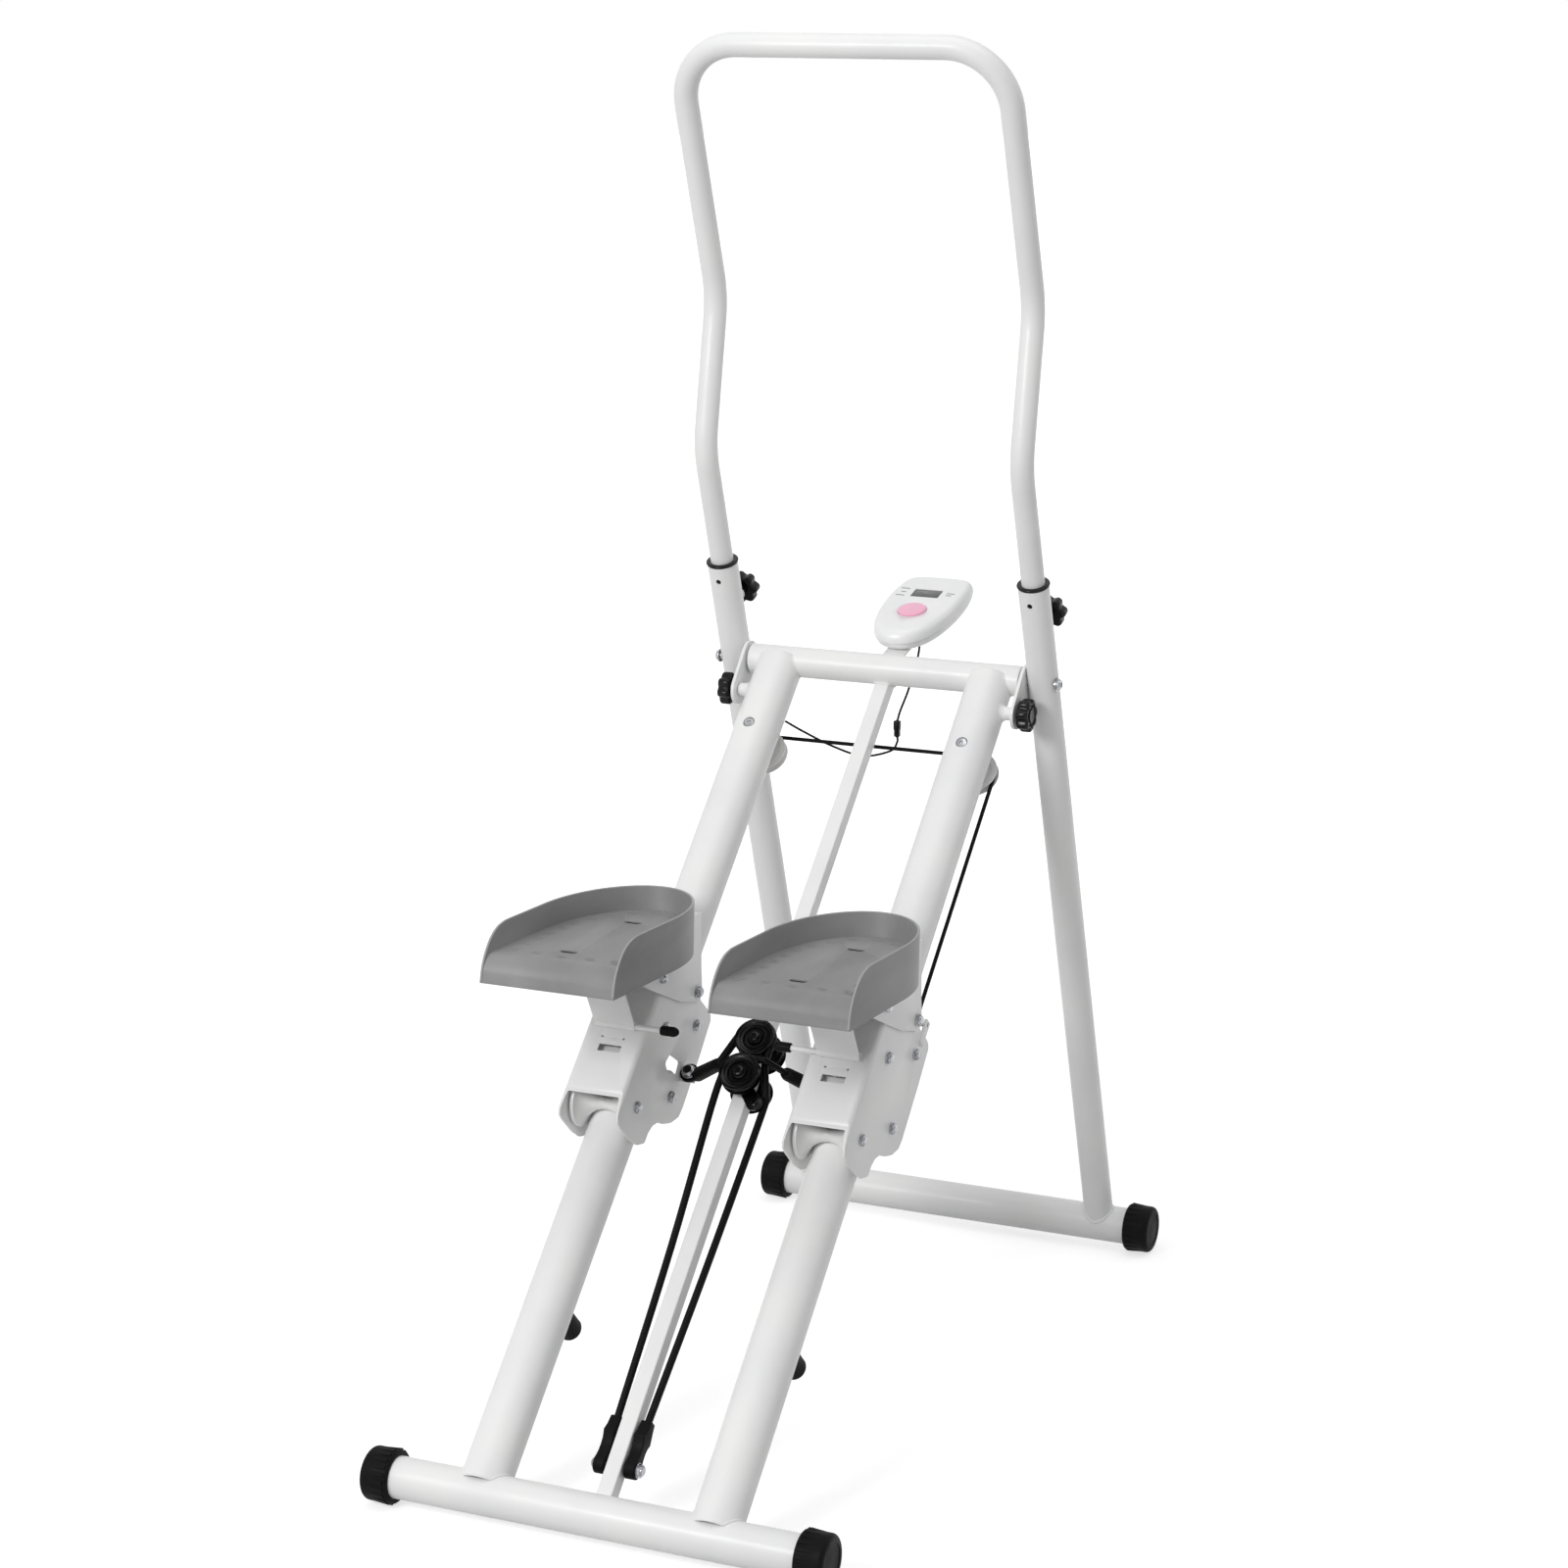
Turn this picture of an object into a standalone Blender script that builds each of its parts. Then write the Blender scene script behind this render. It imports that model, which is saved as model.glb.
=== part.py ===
"""Folding vertical climber: two pedals ride on inclined rails, with a rear frame, a handlebar and a console.

Metres, +Z up. The origin is on the floor midway between the two base tubes. +X is the viewer's
right, and +Y runs from the user towards the rear base.
"""

import math

import bmesh
import bpy
from mathutils import Matrix, Vector

# Clearances
GAP = 0.0003
RUNNING_GAP = 0.0005
OVERLAP = 0.001

# Facets round the larger and the smaller round pieces
ROUND_SIDES = 24
SMALL_SIDES = 14

# Base tubes and their end caps
BASE_HEIGHT = 0.033
BASE_RADIUS = 0.025
BASE_WALL = 0.002
BASE_HALF_WIDTH = 0.2877
BASE_SPACING = 1.1309
FRONT_BASE_Y = -BASE_SPACING / 2.0
REAR_BASE_Y = BASE_SPACING / 2.0
CAP_RADIUS = 0.0335
CAP_LENGTH = 0.036
CAP_END_WALL = 0.005
CAP_CHAMFER = 0.0035

# Rails, cross tube and the hinge line
RAIL_X = 0.147
RAIL_RADIUS = 0.030
RAIL_WALL = 0.002
RAIL_START = 0.010
RAIL_TOP_SETBACK = 0.004
HINGE_Y = 0.28715
HINGE_Z = 0.8540
CROSS_RADIUS = 0.020
CROSS_WALL = 0.002
CROSS_HALF_WIDTH = 0.1885
CROSS_PLUG_LENGTH = 0.015

# Square centre bar
BAR_SIZE = 0.020
BAR_WALL = 0.0015
BAR_NORMAL = -0.012
BAR_START = 0.012

# Rear uprights and hinge plates
HINGE_CLEARANCE = 0.0035
PLATE_INNER_X = CROSS_HALF_WIDTH + HINGE_CLEARANCE
PLATE_THICKNESS = 0.003
UPRIGHT_RADIUS = 0.020
UPRIGHT_X = PLATE_INNER_X + PLATE_THICKNESS + UPRIGHT_RADIUS
UPRIGHT_WALL = 0.002
UPRIGHT_TOP_Y = 0.24935
UPRIGHT_TOP_Z = 0.9859
UPRIGHT_START = 0.012
PLATE_HINGE_RADIUS = 0.023
PLATE_LOCK_RADIUS = 0.019
LOCK_ALONG = 1.1330
LOCK_BOSS_RADIUS = 0.0085
LOCK_BOSS_CLEARANCE = 0.0005
LOCK_BOSS_END = PLATE_INNER_X - LOCK_BOSS_CLEARANCE
PIVOT_RADIUS = 0.005
PIVOT_HEAD_RADIUS = 0.009
PIVOT_HEAD_HEIGHT = 0.007

# Star knobs
KNOB_RADIUS = 0.0215
KNOB_LOBES = 7
KNOB_LOBE_DEPTH = 0.0022
KNOB_THICKNESS = 0.016
KNOB_NECK_RADIUS = 0.008
SCREW_RADIUS = 0.004
LOCK_KNOB_SETBACK = 0.008
LOCK_KNOB_INNER_X = PLATE_INNER_X + LOCK_KNOB_SETBACK
CLAMP_DROP = 0.062
CLAMP_BOSS_END = 0.032
CLAMP_BOSS_RADIUS = 0.009
CLAMP_NECK = 0.009
SPRING_HOLE_DROP = 0.019
SPRING_HOLE_RADIUS = 0.0035

# Handlebar
HANDLE_RADIUS = 0.015
HANDLE_WALL = 0.0018
HANDLE_INSERTION = 0.100
HANDLE_STRAIGHT = 0.1644
HANDLE_HIGH_BEND = (0.2346, 1.3342)
HANDLE_TOP = (0.1241, 1.6498)
HANDLE_BEND_RADIUS = 0.110
HANDLE_CORNER_RADIUS = 0.078
BUSHING_DEPTH = 0.024
BUSHING_COLLAR_RADIUS = 0.0215
BUSHING_COLLAR_HEIGHT = 0.004

# Guide pulleys and the rope that joins the carriages
GUIDE_ALONG = 1.065
GUIDE_NORMAL = -0.042
GUIDE_RADIUS = 0.030
GUIDE_ROPE_RADIUS = 0.026
GUIDE_THICKNESS = 0.012
GUIDE_BOLT_RADIUS = 0.004
GUIDE_HEAD_NORMAL = 0.020
BOLT_HEAD_RADIUS = 0.0068
BOLT_HEAD_HEIGHT = 0.005
ROPE_RADIUS = 0.0025
GROOVE_EXTRA = 0.0018

# Band pulleys, elastic bands and their anchor
BAND_LOWER_ALONG = 0.569
BAND_PULLEY_SPACING = 0.054
BAND_UPPER_ALONG = BAND_LOWER_ALONG + BAND_PULLEY_SPACING
BAND_PULLEY_RADIUS = 0.0255
BAND_WRAP_RADIUS = 0.022
BAND_PULLEY_THICKNESS = 0.014
BAND_RADIUS = 0.0045
BAND_PLANE_STEP = 0.0105
BAND_START_X = 0.0195
BAND_NECK_X = 0.046
BAND_NECK_NORMAL = -0.010
BAND_CLIP_THICKNESS = 0.005
BAND_CLIP_RADIUS = 0.0105
PULLEY_PLATE_THICKNESS = 0.0024
PULLEY_PLATE_RADIUS = 0.011
PULLEY_LOBE_DROP = 0.028
PULLEY_LOBE = (0.022, BAND_LOWER_ALONG - PULLEY_LOBE_DROP)
PULLEY_LOBE_RADIUS = 0.010
PULLEY_AXLE_RADIUS = 0.004
ANCHOR_ALONG = 0.066
CLIP_INNER_X = 0.0125
CLIP_OUTER_X = 0.0265
CLIP_HALF_WIDTH = 0.0100
CLIP_TOP_ALONG = 0.125

# Stop buffers
BUFFER_ALONG = 0.244
BUFFER_RADIUS = 0.015
BUFFER_END = -0.080
BUFFER_DOME = 0.010

# Carriage housing, as seen along the rail frame's own axes
PLATE_OUTER = 0.040
SHEET = 0.0025
FRONT_NORMAL = 0.081
HOUSING_BEND = 0.007
AXLE_RADIUS = 0.004
FRONT_AXLES = (0.495, 0.607)
REAR_AXLES = (0.552, 0.655)
AXLE_NORMAL = 0.038
ROLLER_HALF_LENGTH = 0.035
PEDAL_PIVOT_ALONG = 0.6845
PEDAL_PIVOT_NORMAL = -0.005
PEDAL_PIVOT_RADIUS = 0.005
ROPE_PIN_ALONG = 0.699
ROPE_PIN_RADIUS = 0.003
STUD_ALONG = 0.590
STUD_OFFSET = 0.052
STUD_SEAT = -0.045
STUD_RADIUS = 0.004
STUD_NUT_RADIUS = 0.008
WINDOW_HALF_WIDTH = 0.015
WINDOW_ALONG = (0.543, 0.553)

# Pedal bracket and pedal
PEDAL_TILT = math.radians(-2.7)
PEDAL_FLOOR = 0.1025
PEDAL_SHEET = 0.003
PEDAL_WIDTH = 0.175
PEDAL_SHIFT = 0.0045
PEDAL_HEEL = -0.330
PEDAL_TOE = -0.018
PEDAL_TOE_LENGTH = 0.153
PEDAL_SKIRT = 0.033
PEDAL_WALL_TOP = 0.1325
BRACKET_INNER = 0.0404
BRACKET_SHEET = 0.003
LEG_HALF_WIDTH = 0.027
LEG_ENDS = ((-0.0019029, -0.0025811), (0.0009971, -0.0010811))
LEG_KNEE_BACK = (-0.1701, 0.0308)
LEG_KNEE_FRONT = (-0.1671, 0.0320)
LEG_ROOT_BACK = -0.1978
LEG_ROOT_FRONT = -0.1948
LEG_ROOT_DEPTH = 0.0005
LEVER_SETBACK = 0.1065
LEVER_ALONG = PEDAL_PIVOT_ALONG - LEVER_SETBACK
LEVER_NORMAL = 0.0867
LEVER_RADIUS = 0.0035
LEVER_HEM_RADIUS = 0.0052
LEVER_REACH = 0.062
LEVER_CAP_RADIUS = 0.006
LEVER_CAP_LENGTH = 0.018

# Console
CONSOLE_TILT = math.radians(14.4)
CONSOLE_FACE_POINT = (0.0, 0.3657, 0.9195)
CONSOLE_X = 0.0045
CONSOLE_HEIGHT = 0.030
CONSOLE_SPLIT = 0.013
CONSOLE_SHELL = 0.0025
BUTTON_RADIUS = 0.019
BUTTON_PROUD = 0.003
BUTTON_LENGTH = 0.011
LCD_ALONG = 0.054
LCD_LENGTH = 0.039
LCD_WIDTH = 0.024
LCD_THICKNESS = 0.0018
TAB_WIDTH = 0.030
TAB_THICKNESS = 0.003
CABLE_RADIUS = 0.0015
CONNECTOR_RADIUS = 0.0045
CONNECTOR_TOP = (0.002, 0.3236, 0.780)
CONNECTOR_LENGTH = 0.023

SIDES = (("left", -1), ("right", 1))
BAND_PULLEYS = (("lower", BAND_LOWER_ALONG, 1), ("upper", BAND_UPPER_ALONG, 0))

RAIL_ANGLE = math.atan2(HINGE_Z - BASE_HEIGHT, HINGE_Y - FRONT_BASE_Y)
RAIL_LENGTH = math.hypot(HINGE_Z - BASE_HEIGHT, HINGE_Y - FRONT_BASE_Y)
UPRIGHT_ANGLE = math.atan2(REAR_BASE_Y - UPRIGHT_TOP_Y, UPRIGHT_TOP_Z - BASE_HEIGHT)
UPRIGHT_LENGTH = math.hypot(REAR_BASE_Y - UPRIGHT_TOP_Y, UPRIGHT_TOP_Z - BASE_HEIGHT)


def clear_scene():
    for obj in list(bpy.data.objects):
        bpy.data.objects.remove(obj, do_unlink=True)


def make_material(name, color, roughness, metallic=0.0):
    material = bpy.data.materials.new(name)
    material.use_nodes = True
    shader = material.node_tree.nodes["Principled BSDF"]
    shader.inputs["Base Color"].default_value = (*color, 1.0)
    shader.inputs["Roughness"].default_value = roughness
    shader.inputs["Metallic"].default_value = metallic
    material.diffuse_color = (*color, 1.0)
    return material


def make_frame(name, location, angle, parent=None):
    """An empty turned about X, which carries the pieces drawn along its own axes."""
    frame = bpy.data.objects.new(name, None)
    bpy.context.scene.collection.objects.link(frame)
    frame.parent = parent
    frame.location = location
    frame.rotation_euler = (angle, 0.0, 0.0)
    return frame


def frame_matrix(frame):
    own = Matrix.Translation(frame.location) @ Matrix.Rotation(frame.rotation_euler.x, 4, "X")
    if frame.parent is None:
        return own
    return frame_matrix(frame.parent) @ own


def in_frame(frame, world_point):
    return frame_matrix(frame).inverted() @ Vector(world_point)


def add_rings(rings, closed_loop=False):
    """A bmesh skin through rings of points, with its two ends filled, or joined when it is a closed loop."""
    bm = bmesh.new()
    loops = [[bm.verts.new(point) for point in ring] for ring in rings]
    pairs = list(zip(loops, loops[1:]))
    if closed_loop:
        pairs.append((loops[-1], loops[0]))
    for first, second in pairs:
        count = max(len(first), len(second))
        for i in range(count):
            j = (i + 1) % count
            corners = [first[i % len(first)], first[j % len(first)]]
            corners += [second[j % len(second)], second[i % len(second)]]
            bm.faces.new(list(dict.fromkeys(corners)))
    if not closed_loop:
        for loop in (loops[0], loops[-1]):
            if len(loop) > 2:
                bm.faces.new(loop)
    bmesh.ops.recalc_face_normals(bm, faces=bm.faces)
    return bm


def turned(profile, origin, axis, sides=ROUND_SIDES):
    """A body of revolution. The profile lists (distance along the axis, radius); zero radii make a pole."""
    turn = Vector((0.0, 0.0, 1.0)).rotation_difference(Vector(axis)).to_matrix()
    rings = []
    for along, radius in profile:
        if radius == 0.0:
            rings.append([Vector(origin) + turn @ Vector((0.0, 0.0, along))])
            continue
        ring = []
        for i in range(sides):
            angle = 2.0 * math.pi * i / sides
            spoke = Vector((radius * math.cos(angle), radius * math.sin(angle), along))
            ring.append(Vector(origin) + turn @ spoke)
        rings.append(ring)
    return add_rings(rings, closed_loop=profile[0][1] > 0.0)


def rod(start, end, radius, sides=ROUND_SIDES):
    span = Vector(end) - Vector(start)
    profile = [(0.0, 0.0), (0.0, radius), (span.length, radius), (span.length, 0.0)]
    return turned(profile, start, span.normalized(), sides)


def tube(start, end, radius, bore, sides=ROUND_SIDES):
    span = Vector(end) - Vector(start)
    profile = [(0.0, bore), (0.0, radius), (span.length, radius), (span.length, bore)]
    return turned(profile, start, span.normalized(), sides)


def extruded(outline, low, high, across="X"):
    """A prism. Across X the outline lists (y, z), across Y (x, z) and across Z (x, y)."""
    place = {
        "X": lambda a, b, c: Vector((c, a, b)),
        "Y": lambda a, b, c: Vector((a, c, b)),
        "Z": lambda a, b, c: Vector((a, b, c)),
    }[across]
    return add_rings([[place(a, b, level) for a, b in outline] for level in (low, high)])


def box(low, high):
    corners = [(low[0], low[1]), (high[0], low[1]), (high[0], high[1]), (low[0], high[1])]
    return extruded(corners, low[2], high[2], "Z")


def arc(center, radius, start, end, steps):
    """Points on an arc in a plane, with its angles in degrees."""
    points = []
    for i in range(steps + 1):
        angle = math.radians(start + (end - start) * i / steps)
        points.append((center[0] + radius * math.cos(angle), center[1] + radius * math.sin(angle)))
    return points


def rounded_path(corners, radii, steps):
    """A path through the corners, each inner corner rounded to its radius."""
    points = [Vector(corners[0])]
    for i, radius in enumerate(radii, 1):
        here = Vector(corners[i])
        back = (Vector(corners[i - 1]) - here).normalized()
        ahead = (Vector(corners[i + 1]) - here).normalized()
        half = back.angle(ahead) / 2.0
        center = here + (back + ahead).normalized() * radius / math.sin(half)
        first = here + back * radius / math.tan(half) - center
        last = here + ahead * radius / math.tan(half) - center
        for k in range(steps + 1):
            points.append(center + radius * first.slerp(last, k / steps).normalized())
    points.append(Vector(corners[-1]))
    return points


def smooth_path(route, steps):
    """Points on a smooth curve that passes through the route's own points."""
    route = [Vector(point) for point in route]
    padded = [2 * route[0] - route[1], *route, 2 * route[-1] - route[-2]]
    points = []
    for a, b, c, d in zip(padded, padded[1:], padded[2:], padded[3:]):
        for k in range(steps):
            t = k / steps
            even = 2 * b + (c - a) * t + (2 * a - 5 * b + 4 * c - d) * t**2
            points.append((even + (3 * b - a - 3 * c + d) * t**3) / 2)
    points.append(route[-1])
    return points


def swept(path, radius, bore=0.0, sides=16):
    """A round bar or tube along a path, with its section carried on without twist."""
    tangents = []
    for i in range(len(path)):
        before = path[max(i - 1, 0)]
        after = path[min(i + 1, len(path) - 1)]
        tangents.append((after - before).normalized())
    side = tangents[0].orthogonal().normalized()
    outer = []
    inner = []
    for i, tangent in enumerate(tangents):
        if i:
            side = tangents[i - 1].rotation_difference(tangent) @ side
        other = tangent.cross(side)
        for ring_list, size in ((outer, radius), (inner, bore)):
            ring = []
            for k in range(sides):
                angle = 2.0 * math.pi * k / sides
                ring.append(path[i] + size * (math.cos(angle) * side + math.sin(angle) * other))
            ring_list.append(ring)
    if bore == 0.0:
        return add_rings(outer)
    return add_rings(outer + inner[::-1], closed_loop=True)


def hull(parts):
    """The convex solid round several shapes."""
    bm = bmesh.new()
    for part in parts:
        for vert in part.verts:
            bm.verts.new(vert.co)
        part.free()
    result = bmesh.ops.convex_hull(bm, input=bm.verts)
    loose = {item for item in result["geom_interior"] if isinstance(item, bmesh.types.BMVert)}
    bmesh.ops.delete(bm, geom=list(loose), context="VERTS")
    bmesh.ops.recalc_face_normals(bm, faces=bm.faces)
    return bm


def place_mesh(name, bm, parent, origin):
    bmesh.ops.translate(bm, verts=bm.verts, vec=-Vector(origin))
    mesh = bpy.data.meshes.new(name)
    bm.to_mesh(mesh)
    bm.free()
    mesh.shade_smooth()
    mesh.set_sharp_from_angle(angle=math.radians(32.0))
    obj = bpy.data.objects.new(name, mesh)
    bpy.context.scene.collection.objects.link(obj)
    obj.parent = parent
    obj.location = origin
    return obj


def make_piece(name, material, parent, shapes, cuts=(), within=(), origin=(0.0, 0.0, 0.0)):
    """One sub-part: its shapes joined, kept within some solids and cut by others."""
    piece = place_mesh(name, shapes[0], parent, origin)
    piece.data.materials.append(material)
    helpers = [("UNION", shape) for shape in shapes[1:]]
    helpers += [("INTERSECT", shape) for shape in within]
    helpers += [("DIFFERENCE", shape) for shape in cuts]
    for i, (operation, shape) in enumerate(helpers, 1):
        helper = place_mesh(f"{name}_{operation.lower()}_{i}", shape, parent, origin)
        helper.hide_render = True
        helper.display_type = "WIRE"
        helper.data.materials.append(material)
        modifier = piece.modifiers.new(f"{operation.lower()}_{i}", "BOOLEAN")
        modifier.operation = operation
        modifier.solver = "EXACT"
        modifier.object = helper
    return piece


def star_outline(radius):
    """A knob's lobed rim."""
    steps = KNOB_LOBES * 4
    points = []
    for i in range(steps):
        angle = 2.0 * math.pi * i / steps
        reach = radius - KNOB_LOBE_DEPTH * (1.0 - math.cos(KNOB_LOBES * angle))
        points.append((reach * math.cos(angle), reach * math.sin(angle)))
    return points


def base_tube(name, y):
    end = BASE_HALF_WIDTH
    shape = tube((-end, y, BASE_HEIGHT), (end, y, BASE_HEIGHT), BASE_RADIUS, BASE_RADIUS - BASE_WALL)
    make_piece(name, WHITE, None, [shape])


def base_caps(name, y):
    """Ribbed rubber cups over both ends of a base tube, flat where they meet the floor."""
    outer_end = BASE_HALF_WIDTH + GAP + CAP_END_WALL
    bore = BASE_RADIUS + GAP
    inner_end = outer_end - CAP_END_WALL
    rim = outer_end - CAP_LENGTH
    profile = [(inner_end, 0.0), (inner_end, bore), (rim, bore), (rim, CAP_RADIUS - 0.001)]
    profile += [(rim + 0.002, CAP_RADIUS), (outer_end - CAP_CHAMFER, CAP_RADIUS)]
    profile += [(outer_end, CAP_RADIUS - CAP_CHAMFER), (outer_end, 0.0)]
    for side_name, side in SIDES:
        cup = turned(profile, (0.0, y, BASE_HEIGHT), (side, 0.0, 0.0), ROUND_SIDES)
        floor_cut = box((-1.0, y - 0.1, -0.1), (1.0, y + 0.1, 0.0))
        make_piece(f"{name}_{side_name}", RUBBER, None, [cup], [floor_cut])


def rail(side_name, side):
    """A round rail, coped over the base tube and under the cross tube, with a lock boss and a bolt hole."""
    x = side * RAIL_X
    top = RAIL_LENGTH - RAIL_TOP_SETBACK
    body = tube((x, RAIL_START, 0.0), (x, top, 0.0), RAIL_RADIUS, RAIL_RADIUS - RAIL_WALL)
    boss_start = x + side * (RAIL_RADIUS - 0.0015)
    boss = rod((boss_start, LOCK_ALONG, 0.0), (side * LOCK_BOSS_END, LOCK_ALONG, 0.0), LOCK_BOSS_RADIUS, SMALL_SIDES)
    past = 2.0 * RAIL_RADIUS
    cope = rod((x - past, 0.0, 0.0), (x + past, 0.0, 0.0), BASE_RADIUS + GAP)
    top_cope = rod((x - past, RAIL_LENGTH, 0.0), (x + past, RAIL_LENGTH, 0.0), CROSS_RADIUS + GAP)
    screw_hole = rod(
        (x + side * (RAIL_RADIUS - 0.006), LOCK_ALONG, 0.0),
        (side * 1.0, LOCK_ALONG, 0.0),
        SCREW_RADIUS + GAP,
        SMALL_SIDES,
    )
    head_hole = rod((x, GUIDE_ALONG, 0.0), (x, GUIDE_ALONG, 0.1), BOLT_HEAD_RADIUS + 0.0008, SMALL_SIDES)
    shank_hole = rod((x, GUIDE_ALONG, 0.0), (x, GUIDE_ALONG, -0.1), GUIDE_BOLT_RADIUS + GAP, SMALL_SIDES)
    cuts = [cope, top_cope, screw_hole, head_hole, shank_hole]
    make_piece(f"rail_{side_name}", WHITE, RAIL_FRAME, [body, boss], cuts)


def cross_tube():
    """The top cross tube, with a bored plug in each end that carries the hinge bolt."""
    end = CROSS_HALF_WIDTH
    plug = end - CROSS_PLUG_LENGTH
    bore = CROSS_RADIUS - CROSS_WALL
    pin = PIVOT_RADIUS + GAP
    profile = [(-end, pin), (-end, CROSS_RADIUS), (end, CROSS_RADIUS), (end, pin)]
    profile += [(plug, pin), (plug, bore), (-plug, bore), (-plug, pin)]
    body = turned(profile, (0.0, HINGE_Y, HINGE_Z), (1.0, 0.0, 0.0), ROUND_SIDES)
    make_piece("cross_tube", WHITE, None, [body])


def centre_bar():
    """The square bar between the rails, coped at both ends, with holes for the anchor bolt."""
    half = BAR_SIZE / 2.0
    low = (-half, BAR_START, BAR_NORMAL - half)
    high = (half, RAIL_LENGTH - BAR_START, BAR_NORMAL + half)
    inner = half - BAR_WALL
    core_low = (-inner, -0.1, BAR_NORMAL - inner)
    core_high = (inner, RAIL_LENGTH + 0.1, BAR_NORMAL + inner)
    cope = rod((-1.0, 0.0, 0.0), (1.0, 0.0, 0.0), BASE_RADIUS + GAP, ROUND_SIDES)
    top_cope = rod((-1.0, RAIL_LENGTH, 0.0), (1.0, RAIL_LENGTH, 0.0), CROSS_RADIUS + GAP, ROUND_SIDES)
    anchor = rod(
        (-0.1, ANCHOR_ALONG, BAR_NORMAL), (0.1, ANCHOR_ALONG, BAR_NORMAL), PULLEY_AXLE_RADIUS + GAP, SMALL_SIDES
    )
    cuts = [box(core_low, core_high), cope, top_cope, anchor]
    make_piece("centre_bar", WHITE, RAIL_FRAME, [box(low, high)], cuts)


def stop_buffer(side_name, side):
    """A domed rubber buffer under the rail, which ends the carriage's travel."""
    x = side * RAIL_X
    sunk = RAIL_RADIUS / 2.0
    straight = -BUFFER_END - sunk - BUFFER_DOME
    profile = [(0.0, 0.0)]
    for across, up in arc((0.0, 0.0), 1.0, 0, 90, 4):
        profile.append((straight + BUFFER_DOME * up, BUFFER_RADIUS * across))
    profile[-1] = (straight + BUFFER_DOME, 0.0)
    profile.insert(1, (0.0, BUFFER_RADIUS))
    body = turned(profile, (x, BUFFER_ALONG, -sunk), (0.0, 0.0, -1.0), SMALL_SIDES)
    seat = rod((x, BUFFER_ALONG - 0.1, 0.0), (x, BUFFER_ALONG + 0.1, 0.0), RAIL_RADIUS + GAP, ROUND_SIDES)
    make_piece(f"bumper_{side_name}", RUBBER, RAIL_FRAME, [body], [seat])


def guide_bolt(side_name, side):
    """The bolt that carries a guide pulley behind the rail, with its head sunk in the rail's front."""
    x = side * RAIL_X
    pulley_back = GUIDE_NORMAL - GUIDE_THICKNESS / 2.0 - GAP
    head_top = GUIDE_HEAD_NORMAL + BOLT_HEAD_HEIGHT
    profile = [(pulley_back - BOLT_HEAD_HEIGHT, 0.0), (pulley_back - BOLT_HEAD_HEIGHT, BOLT_HEAD_RADIUS)]
    profile += [(pulley_back, BOLT_HEAD_RADIUS), (pulley_back, GUIDE_BOLT_RADIUS)]
    profile += [(GUIDE_HEAD_NORMAL, GUIDE_BOLT_RADIUS), (GUIDE_HEAD_NORMAL, BOLT_HEAD_RADIUS)]
    profile += [(head_top, BOLT_HEAD_RADIUS), (head_top, 0.0)]
    body = turned(profile, (x, GUIDE_ALONG, 0.0), (0.0, 0.0, 1.0), SMALL_SIDES)
    make_piece(f"guide_bolt_{side_name}", STEEL, RAIL_FRAME, [body])


def grooved_wheel(name, material, center, radius, wrap_radius, cord_radius, thickness, bore):
    """A pulley whose round groove holds the cord with a small gap all round."""
    half = thickness / 2.0
    half_groove = cord_radius + GROOVE_EXTRA
    depth = radius - wrap_radius + cord_radius + RUNNING_GAP
    profile = [(-half, bore), (-half, radius)]
    for across, down in arc((0.0, 0.0), 1.0, 180, 0, 6):
        profile.append((half_groove * across, radius - depth * abs(down)))
    profile += [(half, radius), (half, bore)]
    body = turned(profile, center, (0.0, 0.0, 1.0), 20)
    make_piece(name, material, RAIL_FRAME, [body], origin=center)


def guide_pulleys():
    for side_name, side in SIDES:
        grooved_wheel(
            f"guide_pulley_{side_name}",
            NYLON,
            (side * RAIL_X, GUIDE_ALONG, GUIDE_NORMAL),
            GUIDE_RADIUS,
            GUIDE_ROPE_RADIUS,
            ROPE_RADIUS,
            GUIDE_THICKNESS,
            GUIDE_BOLT_RADIUS + GAP,
        )


def rope_cross():
    """The rope's fixed shape: over one guide pulley, straight across and over the other."""
    path = []
    for side, start in ((-1, 180), (1, 90)):
        center = (side * RAIL_X, GUIDE_ALONG)
        for x, along in arc(center, GUIDE_ROPE_RADIUS, start, start - 90, 7):
            path.append(Vector((x, along, GUIDE_NORMAL)))
    make_piece("rope_cross", CORD, RAIL_FRAME, [swept(path, ROPE_RADIUS, sides=8)])


def rope_run(side_name, side):
    """The straight rope from a carriage's pin up to its guide pulley."""
    x = side * (RAIL_X + GUIDE_ROPE_RADIUS)
    low = (x, ROPE_PIN_ALONG + ROPE_PIN_RADIUS + GAP, GUIDE_NORMAL)
    high = (x, GUIDE_ALONG - GAP, GUIDE_NORMAL)
    make_piece(f"rope_{side_name}", CORD, RAIL_FRAME, [rod(low, high, ROPE_RADIUS, 8)])


def pulley_plane(step):
    """How far in front of the rail plane a band pulley's middle plane lies."""
    bar_face = BAR_NORMAL + BAR_SIZE / 2.0
    first = bar_face + 2 * GAP + PULLEY_PLATE_THICKNESS + GAP + BAND_PULLEY_THICKNESS / 2.0
    return first + step * BAND_PLANE_STEP


def band_pulleys():
    for name, along, step in BAND_PULLEYS:
        grooved_wheel(
            f"band_pulley_{name}",
            BLACK_PLASTIC,
            (0.0, along, pulley_plane(step)),
            BAND_PULLEY_RADIUS,
            BAND_WRAP_RADIUS,
            BAND_RADIUS,
            BAND_PULLEY_THICKNESS,
            PULLEY_AXLE_RADIUS + GAP,
        )


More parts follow.
